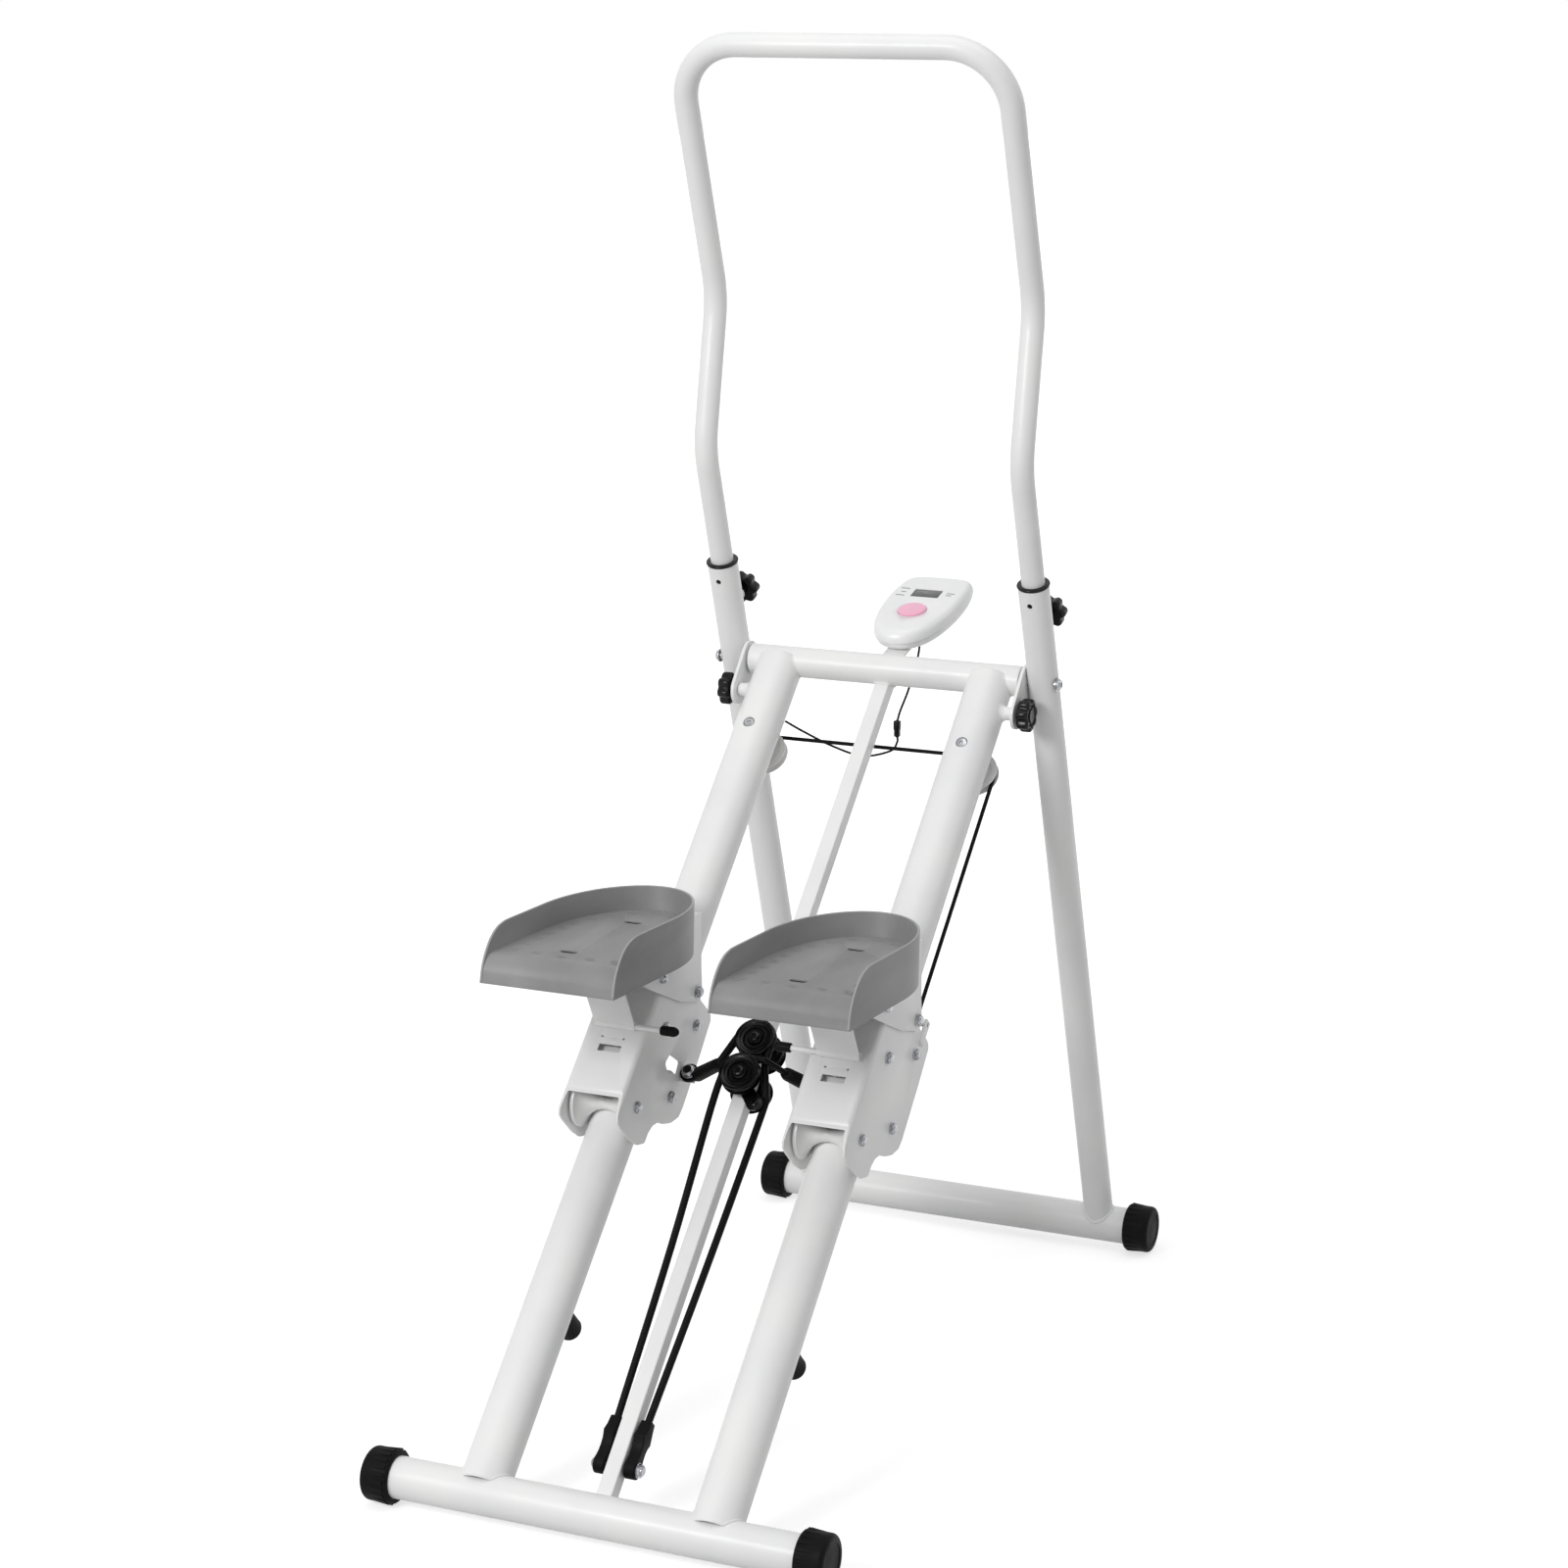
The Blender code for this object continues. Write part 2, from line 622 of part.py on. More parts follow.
def pulley_bracket():
    """A plate on the bar's front with both pulley axles and a side lobe."""
    back = BAR_NORMAL + BAR_SIZE / 2.0 + GAP
    front = back + PULLEY_PLATE_THICKNESS
    discs = []
    shapes = []
    for _, along, step in BAND_PULLEYS:
        discs.append(rod((0.0, along, back), (0.0, along, front), PULLEY_PLATE_RADIUS, SMALL_SIDES))
        seat = pulley_plane(step) - BAND_PULLEY_THICKNESS / 2.0 - GAP
        head = pulley_plane(step) + BAND_PULLEY_THICKNESS / 2.0 + GAP
        profile = [(back + OVERLAP, 0.0), (back + OVERLAP, BOLT_HEAD_RADIUS), (seat, BOLT_HEAD_RADIUS)]
        profile += [(seat, PULLEY_AXLE_RADIUS), (head, PULLEY_AXLE_RADIUS), (head, BOLT_HEAD_RADIUS)]
        profile += [(head + 0.003, BOLT_HEAD_RADIUS), (head + 0.003, 0.0)]
        shapes.append(turned(profile, (0.0, along, 0.0), (0.0, 0.0, 1.0), SMALL_SIDES))
    lobe_x, lobe_along = PULLEY_LOBE
    lobe = [rod((lobe_x, lobe_along, back), (lobe_x, lobe_along, front), PULLEY_LOBE_RADIUS, SMALL_SIDES)]
    root = BAND_LOWER_ALONG - PULLEY_LOBE_RADIUS / 2.0
    lobe.append(rod((0.0, root, back), (0.0, root, front), PULLEY_LOBE_RADIUS * 0.8, SMALL_SIDES))
    make_piece("pulley_bracket", BLACK_PLASTIC, RAIL_FRAME, [hull(discs), hull(lobe), *shapes])


def anchor_bolt():
    """The bolt through the bar that holds both bands' lower clips."""
    seat = CLIP_OUTER_X + GAP
    end = seat + 0.006
    profile = [(-end, 0.0), (-end, BOLT_HEAD_RADIUS), (-seat, BOLT_HEAD_RADIUS), (-seat, PULLEY_AXLE_RADIUS)]
    profile += [(seat, PULLEY_AXLE_RADIUS), (seat, BOLT_HEAD_RADIUS), (end, BOLT_HEAD_RADIUS), (end, 0.0)]
    body = turned(profile, (0.0, ANCHOR_ALONG, BAR_NORMAL), (1.0, 0.0, 0.0), SMALL_SIDES)
    make_piece("anchor_bolt", STEEL, RAIL_FRAME, [body])


def anchor_clip(side):
    """The moulded clip on the anchor bolt, as an outline along the rail extruded across it."""
    outline = arc((ANCHOR_ALONG, BAR_NORMAL), CLIP_HALF_WIDTH + 0.001, 90, 270, 8)
    neck = CLIP_HALF_WIDTH * 0.6
    outline.append((CLIP_TOP_ALONG - 0.028, BAR_NORMAL - CLIP_HALF_WIDTH))
    outline.append((CLIP_TOP_ALONG, BAR_NORMAL - neck))
    outline.append((CLIP_TOP_ALONG, BAR_NORMAL + neck))
    outline.append((CLIP_TOP_ALONG - 0.019, BAR_NORMAL + CLIP_HALF_WIDTH * 1.25))
    outline.append((CLIP_TOP_ALONG - 0.036, BAR_NORMAL + CLIP_HALF_WIDTH))
    low, high = sorted((side * CLIP_INNER_X, side * CLIP_OUTER_X))
    return extruded(outline, low, high)


def carriage_clip(stud_x, neck):
    """The flat clip whose eye sits on a carriage's stud, tapering up to the band."""
    toward = math.copysign(1.0, neck.x - stud_x)
    low = STUD_SEAT + GAP
    high = low + BAND_CLIP_THICKNESS
    eye = rod((stud_x, STUD_ALONG, low), (stud_x, STUD_ALONG, high), BAND_CLIP_RADIUS)
    near_x = stud_x + toward * (BAND_CLIP_RADIUS + 0.004)
    near = rod((near_x, STUD_ALONG, low), (near_x, STUD_ALONG, high), BAND_RADIUS, 12)
    half = Vector((0.0, 0.0, BAND_CLIP_THICKNESS / 2.0 + 0.001))
    tip = rod(neck - half, neck + half, BAND_RADIUS + 0.003, 16)
    return [hull([near, tip]), eye]


def band(side_name, side, pulley_along, step, last_angle, route, leave):
    """An elastic band: its clip on the anchor bolt, the cord over one pulley and the clip on the far carriage."""
    plane = pulley_plane(step)
    wrap = arc((0.0, pulley_along), BAND_WRAP_RADIUS, 90 - side * 90, last_angle, 6)
    stud_x = -side * (RAIL_X - STUD_OFFSET)
    neck = Vector((-side * BAND_NECK_X, STUD_ALONG + 0.001, BAND_NECK_NORMAL))
    path = [Vector((side * BAND_START_X, CLIP_TOP_ALONG - 0.006, BAR_NORMAL))]
    path += [Vector(point) for point in route]
    path += [Vector((x, along, plane)) for x, along in wrap]
    path += [Vector(point) for point in leave]
    path.append(neck)
    cord = swept(path, BAND_RADIUS, sides=8)
    anchor_hole = rod(
        (-0.1, ANCHOR_ALONG, BAR_NORMAL), (0.1, ANCHOR_ALONG, BAR_NORMAL), PULLEY_AXLE_RADIUS + GAP, SMALL_SIDES
    )
    stud_hole = rod((stud_x, STUD_ALONG, -0.1), (stud_x, STUD_ALONG, 0.0), STUD_RADIUS + GAP, SMALL_SIDES)
    shapes = [anchor_clip(side), cord, *carriage_clip(stud_x, neck)]
    make_piece(f"band_{side_name}", RUBBER, RAIL_FRAME, shapes, [anchor_hole, stud_hole])


def bands():
    left_route = [(-0.0205, 0.34, 0.000), (-BAND_WRAP_RADIUS, BAND_LOWER_ALONG - 0.049, pulley_plane(1))]
    left_leave = [(0.022, BAND_LOWER_ALONG + BAND_WRAP_RADIUS, pulley_plane(1))]
    left_leave.append((0.034, BAND_LOWER_ALONG + BAND_WRAP_RADIUS, pulley_plane(1) - 0.005))
    upper = BAND_UPPER_ALONG
    right_route = [(0.0285, 0.34, -0.0085), (0.0312, upper - 0.088, -0.0105)]
    right_route += [(0.0308, upper - 0.068, -0.0060), (0.0275, upper - 0.050, 0.0040)]
    right_route.append((0.0226, upper - 0.033, pulley_plane(0)))
    right_route.append((BAND_WRAP_RADIUS, 0.604, pulley_plane(0)))
    right_leave = [(-0.030, 0.615, pulley_plane(0))]
    band("left", -1, BAND_LOWER_ALONG, 1, 88, left_route, left_leave)
    band("right", 1, BAND_UPPER_ALONG, 0, 150, right_route, right_leave)


def housing_outline():
    """The carriage side plate's outline along and square to the rail."""
    points = [(0.640, FRONT_NORMAL + OVERLAP), (0.497, FRONT_NORMAL + OVERLAP)]
    points += [(0.490, 0.079), (0.462, 0.076), (0.456, 0.070), (0.455, 0.060), (0.457, 0.025)]
    points += [(0.462, 0.003), (0.474, -0.014), (0.488, -0.014), (0.501, -0.019), (0.511, -0.029)]
    points += [(0.516, -0.042), (0.522, -0.052), (0.530, -0.064), (0.546, -0.078), (0.560, -0.080)]
    points += [(0.632, -0.077), (0.682, -0.073), (0.687, -0.068), (0.688, -0.060), (0.685, -0.028)]
    points += [(0.690, -0.022), (0.697, -0.014), (0.699, -0.005), (0.697, 0.003)]
    return points


def housing_section(grow):
    """The housing's U section across the rail, bent up from one sheet."""
    half = PLATE_OUTER - grow
    top = FRONT_NORMAL - grow
    radius = HOUSING_BEND - grow
    points = [(half, -0.120 - grow)]
    points += arc((half - radius, top - radius), radius, 0, 90, 4)
    points += arc((-half + radius, top - radius), radius, 90, 180, 4)
    points.append((-half, -0.120 - grow))
    return points


def across(x, low, high, radius, along, normal, sides=16):
    return rod((x + low, along, normal), (x + high, along, normal), radius, sides)


def carriage_housing(side_name, side):
    """A bent sheet housing round the rail, with its four axle bolts, the pedal pivot, a stud and a rope pin."""
    x = side * RAIL_X
    inward = -side
    slab = [(x + a, b) for a, b in housing_section(0.0)]
    hollow = [(x + a, b) for a, b in housing_section(SHEET)]
    shell = extruded(slab, 0.44, 0.71, "Y")
    outline = extruded(housing_outline(), x - 0.06, x + 0.06)
    core = extruded(hollow, 0.40, 0.75, "Y")
    window_low = (x - WINDOW_HALF_WIDTH, WINDOW_ALONG[0], 0.07)
    window_high = (x + WINDOW_HALF_WIDTH, WINDOW_ALONG[1], 0.09)
    pentagon = [(0.590, 0.0015), (0.598, -0.031), (0.5825, -0.0346), (0.570, -0.009), (0.5755, 0.006)]
    low, high = sorted((x + inward * 0.030, x + inward * 0.050))
    piece = make_piece(
        f"carriage_housing_{side_name}",
        WHITE,
        RAIL_FRAME,
        [shell],
        [core, box(window_low, window_high), extruded(pentagon, low, high)],
        [outline],
        origin=(x, PEDAL_PIVOT_ALONG, 0.0),
    )
    fittings = []
    axles = [(along, AXLE_NORMAL) for along in FRONT_AXLES] + [(along, -AXLE_NORMAL) for along in REAR_AXLES]
    head = BOLT_HEAD_HEIGHT - 0.001
    for along, normal in axles:
        profile = [(-PLATE_OUTER - head, 0.0), (-PLATE_OUTER - head, BOLT_HEAD_RADIUS)]
        profile += [(-PLATE_OUTER + OVERLAP, BOLT_HEAD_RADIUS), (-PLATE_OUTER + OVERLAP, AXLE_RADIUS)]
        profile += [(PLATE_OUTER - OVERLAP, AXLE_RADIUS), (PLATE_OUTER - OVERLAP, BOLT_HEAD_RADIUS)]
        profile += [(PLATE_OUTER + head, BOLT_HEAD_RADIUS), (PLATE_OUTER + head, 0.0)]
        fittings.append(turned(profile, (x, along, normal), (1.0, 0.0, 0.0), 10))
    bracket_outer = BRACKET_INNER + BRACKET_SHEET
    seat = bracket_outer + GAP
    for end in (-1, 1):
        profile = [(PLATE_OUTER - SHEET + OVERLAP, 0.0), (PLATE_OUTER - SHEET + OVERLAP, PEDAL_PIVOT_RADIUS)]
        profile += [(seat, PEDAL_PIVOT_RADIUS), (seat, 0.008), (seat + 0.005, 0.008), (seat + 0.005, 0.0)]
        place = (x, PEDAL_PIVOT_ALONG, PEDAL_PIVOT_NORMAL)
        fittings.append(turned(profile, place, (end, 0.0, 0.0), 12))
    outward_face = PLATE_OUTER - OVERLAP
    low, high = sorted((x + side * outward_face, x + side * (PLATE_OUTER + 0.0028)))
    lug_low = (low, 0.672, GUIDE_NORMAL - 0.006)
    lug_high = (high, ROPE_PIN_ALONG + 0.005, GUIDE_NORMAL + 0.006)
    fittings.append(box(lug_low, lug_high))
    pin_low, pin_high = sorted((x + side * 0.020, x + side * (PLATE_OUTER + 0.001)))
    pin = across(0.0, pin_low, pin_high, ROPE_PIN_RADIUS, ROPE_PIN_ALONG, GUIDE_NORMAL, 12)
    low, high = sorted((x + inward * outward_face, x + inward * (STUD_OFFSET + 0.009)))
    tab_low = (low, STUD_ALONG - 0.011, STUD_SEAT - SHEET)
    tab_high = (high, STUD_ALONG + 0.011, STUD_SEAT)
    fittings.append(box(tab_low, tab_high))
    stud_x = x + inward * STUD_OFFSET
    nut_seat = STUD_SEAT + GAP + BAND_CLIP_THICKNESS + GAP
    profile = [(STUD_SEAT - SHEET + 0.0005, 0.0), (STUD_SEAT - SHEET + 0.0005, STUD_RADIUS)]
    profile += [(nut_seat, STUD_RADIUS), (nut_seat, STUD_NUT_RADIUS)]
    profile += [(nut_seat + 0.0065, STUD_NUT_RADIUS), (nut_seat + 0.0065, 0.0)]
    stud = turned(profile, (stud_x, STUD_ALONG, 0.0), (0.0, 0.0, 1.0), 12)
    add_fittings(piece, [merged(fittings), merged([pin, stud])], (x, PEDAL_PIVOT_ALONG, 0.0))


def merged(shapes):
    """Shapes that don't touch, as one bmesh."""
    bm = bmesh.new()
    for shape in shapes:
        copies = {vert: bm.verts.new(vert.co) for vert in shape.verts}
        for face in shape.faces:
            bm.faces.new([copies[vert] for vert in face.verts])
        shape.free()
    return bm


def add_fittings(piece, shapes, origin):
    """Shapes joined to a piece after its cuts."""
    for i, shape in enumerate(shapes, 1):
        helper = place_mesh(f"{piece.name}_fitting_{i}", shape, piece.parent, origin)
        helper.hide_render = True
        helper.display_type = "WIRE"
        helper.data.materials.append(piece.data.materials[0])
        modifier = piece.modifiers.new(f"fitting_{i}", "BOOLEAN")
        modifier.operation = "UNION"
        modifier.solver = "EXACT"
        modifier.object = helper


def rollers(side_name, side):
    """Four hourglass rollers that grip the round rail from the front and from behind."""
    hold = RAIL_RADIUS + RUNNING_GAP
    profile = [(-ROLLER_HALF_LENGTH, AXLE_RADIUS + GAP)]
    edge = AXLE_NORMAL - hold * math.cos(math.radians(80))
    profile.append((-ROLLER_HALF_LENGTH, edge))
    for i in range(9):
        angle = math.radians(-80 + 20 * i)
        profile.append((hold * math.sin(angle), AXLE_NORMAL - hold * math.cos(angle)))
    profile += [(ROLLER_HALF_LENGTH, edge), (ROLLER_HALF_LENGTH, AXLE_RADIUS + GAP)]
    places = {
        "front_low": (FRONT_AXLES[0], AXLE_NORMAL),
        "front_high": (FRONT_AXLES[1], AXLE_NORMAL),
        "rear_low": (REAR_AXLES[0], -AXLE_NORMAL),
        "rear_high": (REAR_AXLES[1], -AXLE_NORMAL),
    }
    for place_name, (along, normal) in places.items():
        center = (side * RAIL_X, along, normal)
        body = turned(profile, center, (1.0, 0.0, 0.0), SMALL_SIDES)
        make_piece(f"roller_{side_name}_{place_name}", NYLON, RAIL_FRAME, [body], origin=center)


def hinge_in_upright():
    return in_frame(UPRIGHT_FRAME, (0.0, HINGE_Y, HINGE_Z))


def lock_world():
    return frame_matrix(RAIL_FRAME) @ Vector((0.0, LOCK_ALONG, 0.0))


def upright(side_name, side):
    """A rear upright: coped over the base tube, open at the top, with its hinge plate and clamp boss."""
    x = side * UPRIGHT_X
    bore = UPRIGHT_RADIUS - UPRIGHT_WALL
    body = tube((x, 0.0, UPRIGHT_START), (x, 0.0, UPRIGHT_LENGTH), UPRIGHT_RADIUS, bore)
    hinge = hinge_in_upright()
    lock = in_frame(UPRIGHT_FRAME, lock_world())
    near = side * PLATE_INNER_X
    far = side * (UPRIGHT_X - UPRIGHT_RADIUS + OVERLAP)
    corners = []
    for center, radius in ((hinge, PLATE_HINGE_RADIUS), (lock, PLATE_LOCK_RADIUS)):
        corners.append(rod((near, center.y, center.z), (far, center.y, center.z), radius, 20))
    plate = hull(corners)
    clamp = UPRIGHT_LENGTH - CLAMP_DROP
    boss = rod((x, UPRIGHT_RADIUS - 0.0015, clamp), (x, CLAMP_BOSS_END, clamp), CLAMP_BOSS_RADIUS, SMALL_SIDES)
    cope = rod((-1.0, 0.0, 0.0), (1.0, 0.0, 0.0), BASE_RADIUS + GAP, ROUND_SIDES)
    pivot = rod((-1.0, hinge.y, hinge.z), (1.0, hinge.y, hinge.z), PIVOT_RADIUS + GAP, SMALL_SIDES)
    lock_hole = rod((0.0, lock.y, lock.z), (side * 0.21, lock.y, lock.z), SCREW_RADIUS + GAP, SMALL_SIDES)
    clamp_hole = rod((x, 0.0, clamp), (x, 0.1, clamp), SCREW_RADIUS + GAP, SMALL_SIDES)
    spring = UPRIGHT_LENGTH - SPRING_HOLE_DROP
    spring_hole = rod((x, -0.1, spring), (x, 0.0, spring), SPRING_HOLE_RADIUS, SMALL_SIDES)
    cuts = [cope, pivot, lock_hole, clamp_hole, spring_hole]
    make_piece(f"upright_{side_name}", WHITE, UPRIGHT_FRAME, [body, plate, boss], cuts)


def pivot_bolt(side_name, side):
    """The hinge bolt, through the upright and into the cross tube's plug."""
    seat = UPRIGHT_X + UPRIGHT_RADIUS + GAP
    start = CROSS_HALF_WIDTH - CROSS_PLUG_LENGTH + 0.002
    profile = [(start, 0.0), (start, PIVOT_RADIUS), (seat, PIVOT_RADIUS), (seat, PIVOT_HEAD_RADIUS)]
    profile += [(seat + PIVOT_HEAD_HEIGHT, PIVOT_HEAD_RADIUS), (seat + PIVOT_HEAD_HEIGHT, 0.0)]
    body = turned(profile, (0.0, HINGE_Y, HINGE_Z), (side, 0.0, 0.0), SMALL_SIDES)
    make_piece(f"pivot_bolt_{side_name}", STEEL, None, [body], origin=(0.0, HINGE_Y, HINGE_Z))


def bushing(side_name, side):
    """The plastic bush in the top of an upright, which guides the handlebar's leg."""
    top = UPRIGHT_LENGTH + GAP
    outer = UPRIGHT_RADIUS - UPRIGHT_WALL - GAP
    bore = HANDLE_RADIUS + GAP
    collar = top + BUSHING_COLLAR_HEIGHT
    profile = [(top - BUSHING_DEPTH, bore), (top - BUSHING_DEPTH, outer), (top, outer)]
    profile += [(top, BUSHING_COLLAR_RADIUS), (collar, BUSHING_COLLAR_RADIUS - 0.001), (collar, bore)]
    body = turned(profile, (side * UPRIGHT_X, 0.0, 0.0), (0.0, 0.0, 1.0), ROUND_SIDES)
    spring = UPRIGHT_LENGTH - SPRING_HOLE_DROP
    spring_hole = rod(
        (side * UPRIGHT_X, -0.1, spring), (side * UPRIGHT_X, 0.0, spring), SPRING_HOLE_RADIUS
    )
    make_piece(f"bushing_{side_name}", BLACK_PLASTIC, UPRIGHT_FRAME, [body], [spring_hole])


def knob_shapes(origin, axis, screw_start, neck_start, disc_start):
    """A star knob on its screw, with each distance measured along the axis."""
    end = disc_start + KNOB_THICKNESS
    turn = Vector((0.0, 0.0, 1.0)).rotation_difference(Vector(axis)).to_matrix()
    rings = []
    chamfer = 0.0025
    for along, shrink in ((disc_start, chamfer), (disc_start + chamfer, 0.0), (end - chamfer, 0.0), (end, chamfer)):
        ring = []
        for a, b in star_outline(KNOB_RADIUS - shrink):
            ring.append(Vector(origin) + turn @ Vector((a, b, along)))
        rings.append(ring)
    profile = [(screw_start, 0.0), (screw_start, SCREW_RADIUS), (neck_start, SCREW_RADIUS)]
    profile += [(neck_start, KNOB_NECK_RADIUS), (disc_start + 0.004, KNOB_NECK_RADIUS), (disc_start + 0.004, 0.0)]
    return [add_rings(rings), turned(profile, origin, axis, 16)]


def lock_knob(side_name, side):
    """The star knob that locks the open frame through the hinge plate, shown at the boss's mouth."""
    center = lock_world()
    screw = LOCK_BOSS_END + 2 * GAP
    neck = UPRIGHT_X - UPRIGHT_RADIUS + OVERLAP + GAP
    shapes = knob_shapes((0.0, center.y, center.z), (side, 0.0, 0.0), screw, neck, LOCK_KNOB_INNER_X)
    origin = (side * LOCK_KNOB_INNER_X, center.y, center.z)
    make_piece(f"lock_knob_{side_name}", BLACK_PLASTIC, None, shapes, origin=origin)


def clamp_knob(side_name, side):
    """The star knob behind an upright whose screw holds the handlebar's leg."""
    center = (side * UPRIGHT_X, 0.0, UPRIGHT_LENGTH - CLAMP_DROP)
    neck = CLAMP_BOSS_END + GAP
    shapes = knob_shapes(center, (0.0, 1.0, 0.0), HANDLE_RADIUS + GAP, neck, neck + CLAMP_NECK)
    make_piece(f"clamp_knob_{side_name}", BLACK_PLASTIC, UPRIGHT_FRAME, shapes, origin=center)


def handlebar():
    """One bent tube: both legs, their two bends and the rounded top."""
    x = UPRIGHT_X
    place = frame_matrix(UPRIGHT_FRAME)
    foot = place @ Vector((0.0, 0.0, UPRIGHT_LENGTH - HANDLE_INSERTION))
    low = place @ Vector((0.0, 0.0, UPRIGHT_LENGTH + HANDLE_STRAIGHT))
    points = [(foot.y, foot.z), (low.y, low.z), HANDLE_HIGH_BEND, HANDLE_TOP]
    corners = [(-x, y, z) for y, z in points] + [(x, y, z) for y, z in reversed(points)]
    bend = HANDLE_BEND_RADIUS
    corner = HANDLE_CORNER_RADIUS
    path = rounded_path(corners, [bend, bend, corner, corner, bend, bend], 4)
    path = [in_frame(UPRIGHT_FRAME, point) for point in path]
    body = swept(path, HANDLE_RADIUS, HANDLE_RADIUS - HANDLE_WALL, SMALL_SIDES)
    make_piece("handlebar", WHITE, UPRIGHT_FRAME, [body])


def bracket_outline():
    """The pedal bracket's side plate, in the pedal frame: along the floor and square to it."""
    top = PEDAL_FLOOR - PEDAL_SHEET - GAP
    points = [(-0.1982, top), (-0.1690, 0.0479), (-0.1321, 0.0316), (-0.0862, 0.0128)]
    points += [(-0.0485, -0.0020)]
    points += arc((0.0, 0.0), 0.0145, 235, 360, 6)
    points += [(0.0110, 0.0300), (0.0090, top)]
    return points


def pedal_bracket(side_name, side):
    """The bent bracket that carries a pedal: a top plate, two side plates, and a front leg on the latch lever."""
    frame = PEDAL_FRAMES[side_name]
    top = PEDAL_FLOOR - PEDAL_SHEET - GAP
    outer = BRACKET_INNER + BRACKET_SHEET
    plates = extruded(bracket_outline(), -outer, outer)
    hollow = box((-BRACKET_INNER, -0.5, -0.2), (BRACKET_INNER, 0.5, top - BRACKET_SHEET))
    hole = rod((-1.0, 0.0, 0.0), (1.0, 0.0, 0.0), PEDAL_PIVOT_RADIUS + GAP, SMALL_SIDES)
    piece = make_piece(f"pedal_bracket_{side_name}", WHITE, frame, [plates], [hollow, hole])
    lever = lever_in_frame(frame, side)
    (back_along, back_up), (front_along, front_up) = LEG_ENDS
    leg = [(lever.y + back_along, lever.z + back_up), LEG_KNEE_BACK, (LEG_ROOT_BACK, top - LEG_ROOT_DEPTH)]
    leg += [(LEG_ROOT_FRONT, top - LEG_ROOT_DEPTH), LEG_KNEE_FRONT, (lever.y + front_along, lever.z + front_up)]
    hem = rod((-LEG_HALF_WIDTH, lever.y, lever.z), (LEG_HALF_WIDTH, lever.y, lever.z), LEVER_HEM_RADIUS, 20)
    add_fittings(piece, [extruded(leg, -LEG_HALF_WIDTH, LEG_HALF_WIDTH), hem], (0.0, 0.0, 0.0))
    bore = rod((-0.1, lever.y, lever.z), (0.1, lever.y, lever.z), LEVER_RADIUS + GAP, 20)
    cutter = place_mesh(f"{piece.name}_bore", bore, frame, (0.0, 0.0, 0.0))
    cutter.hide_render = True
    cutter.display_type = "WIRE"
    modifier = piece.modifiers.new("bore", "BOOLEAN")
    modifier.operation = "DIFFERENCE"
    modifier.object = cutter


def lever_in_frame(frame, side):
    world = frame_matrix(RAIL_FRAME) @ Vector((side * RAIL_X, LEVER_ALONG, LEVER_NORMAL))
    return in_frame(frame, world)


def latch_lever(side_name, side):
    """A rod in the bracket's hem, pulled towards the middle by its capped end to free the pedal."""
    frame = PEDAL_FRAMES[side_name]
    place = lever_in_frame(frame, side)
    start = -0.015
    profile = [(start, 0.0), (start, LEVER_RADIUS), (LEVER_REACH, LEVER_RADIUS)]
    profile += [(LEVER_REACH, LEVER_CAP_RADIUS - 0.0006), (LEVER_REACH + LEVER_CAP_LENGTH * 0.6, LEVER_CAP_RADIUS)]
    profile += [(LEVER_REACH + LEVER_CAP_LENGTH, LEVER_CAP_RADIUS * 0.55), (LEVER_REACH + LEVER_CAP_LENGTH, 0.0)]
    body = turned(profile, (0.0, place.y, place.z), (-side, 0.0, 0.0), 16)
    make_piece(f"latch_lever_{side_name}", WHITE, frame, [body], origin=(0.0, place.y, place.z))


def pedal_plan(inset, heel):
    """The pedal seen from above: straight sides, a half-elliptical toe and a straight heel."""
    half = PEDAL_WIDTH / 2.0 - inset
    start = PEDAL_TOE - PEDAL_TOE_LENGTH
    points = [(PEDAL_SHIFT + half, heel)]
    for across, ahead in arc((0.0, 0.0), 1.0, 0, 180, 20):
        points.append((PEDAL_SHIFT + half * across, start + (PEDAL_TOE_LENGTH - inset) * ahead))
    points.append((PEDAL_SHIFT - half, heel))
    return points


def heel_curve(shift):
    """The floor's line seen from the side, curling down at the heel."""
    level = PEDAL_FLOOR - shift
    radius = 0.024
    drop = 0.032 - shift
    points = []
    for across, up in arc((0.0, 0.0), 1.0, 180, 90, 6):
        points.append((PEDAL_HEEL + radius + (radius - shift) * across, level - drop + drop * up))
    return points


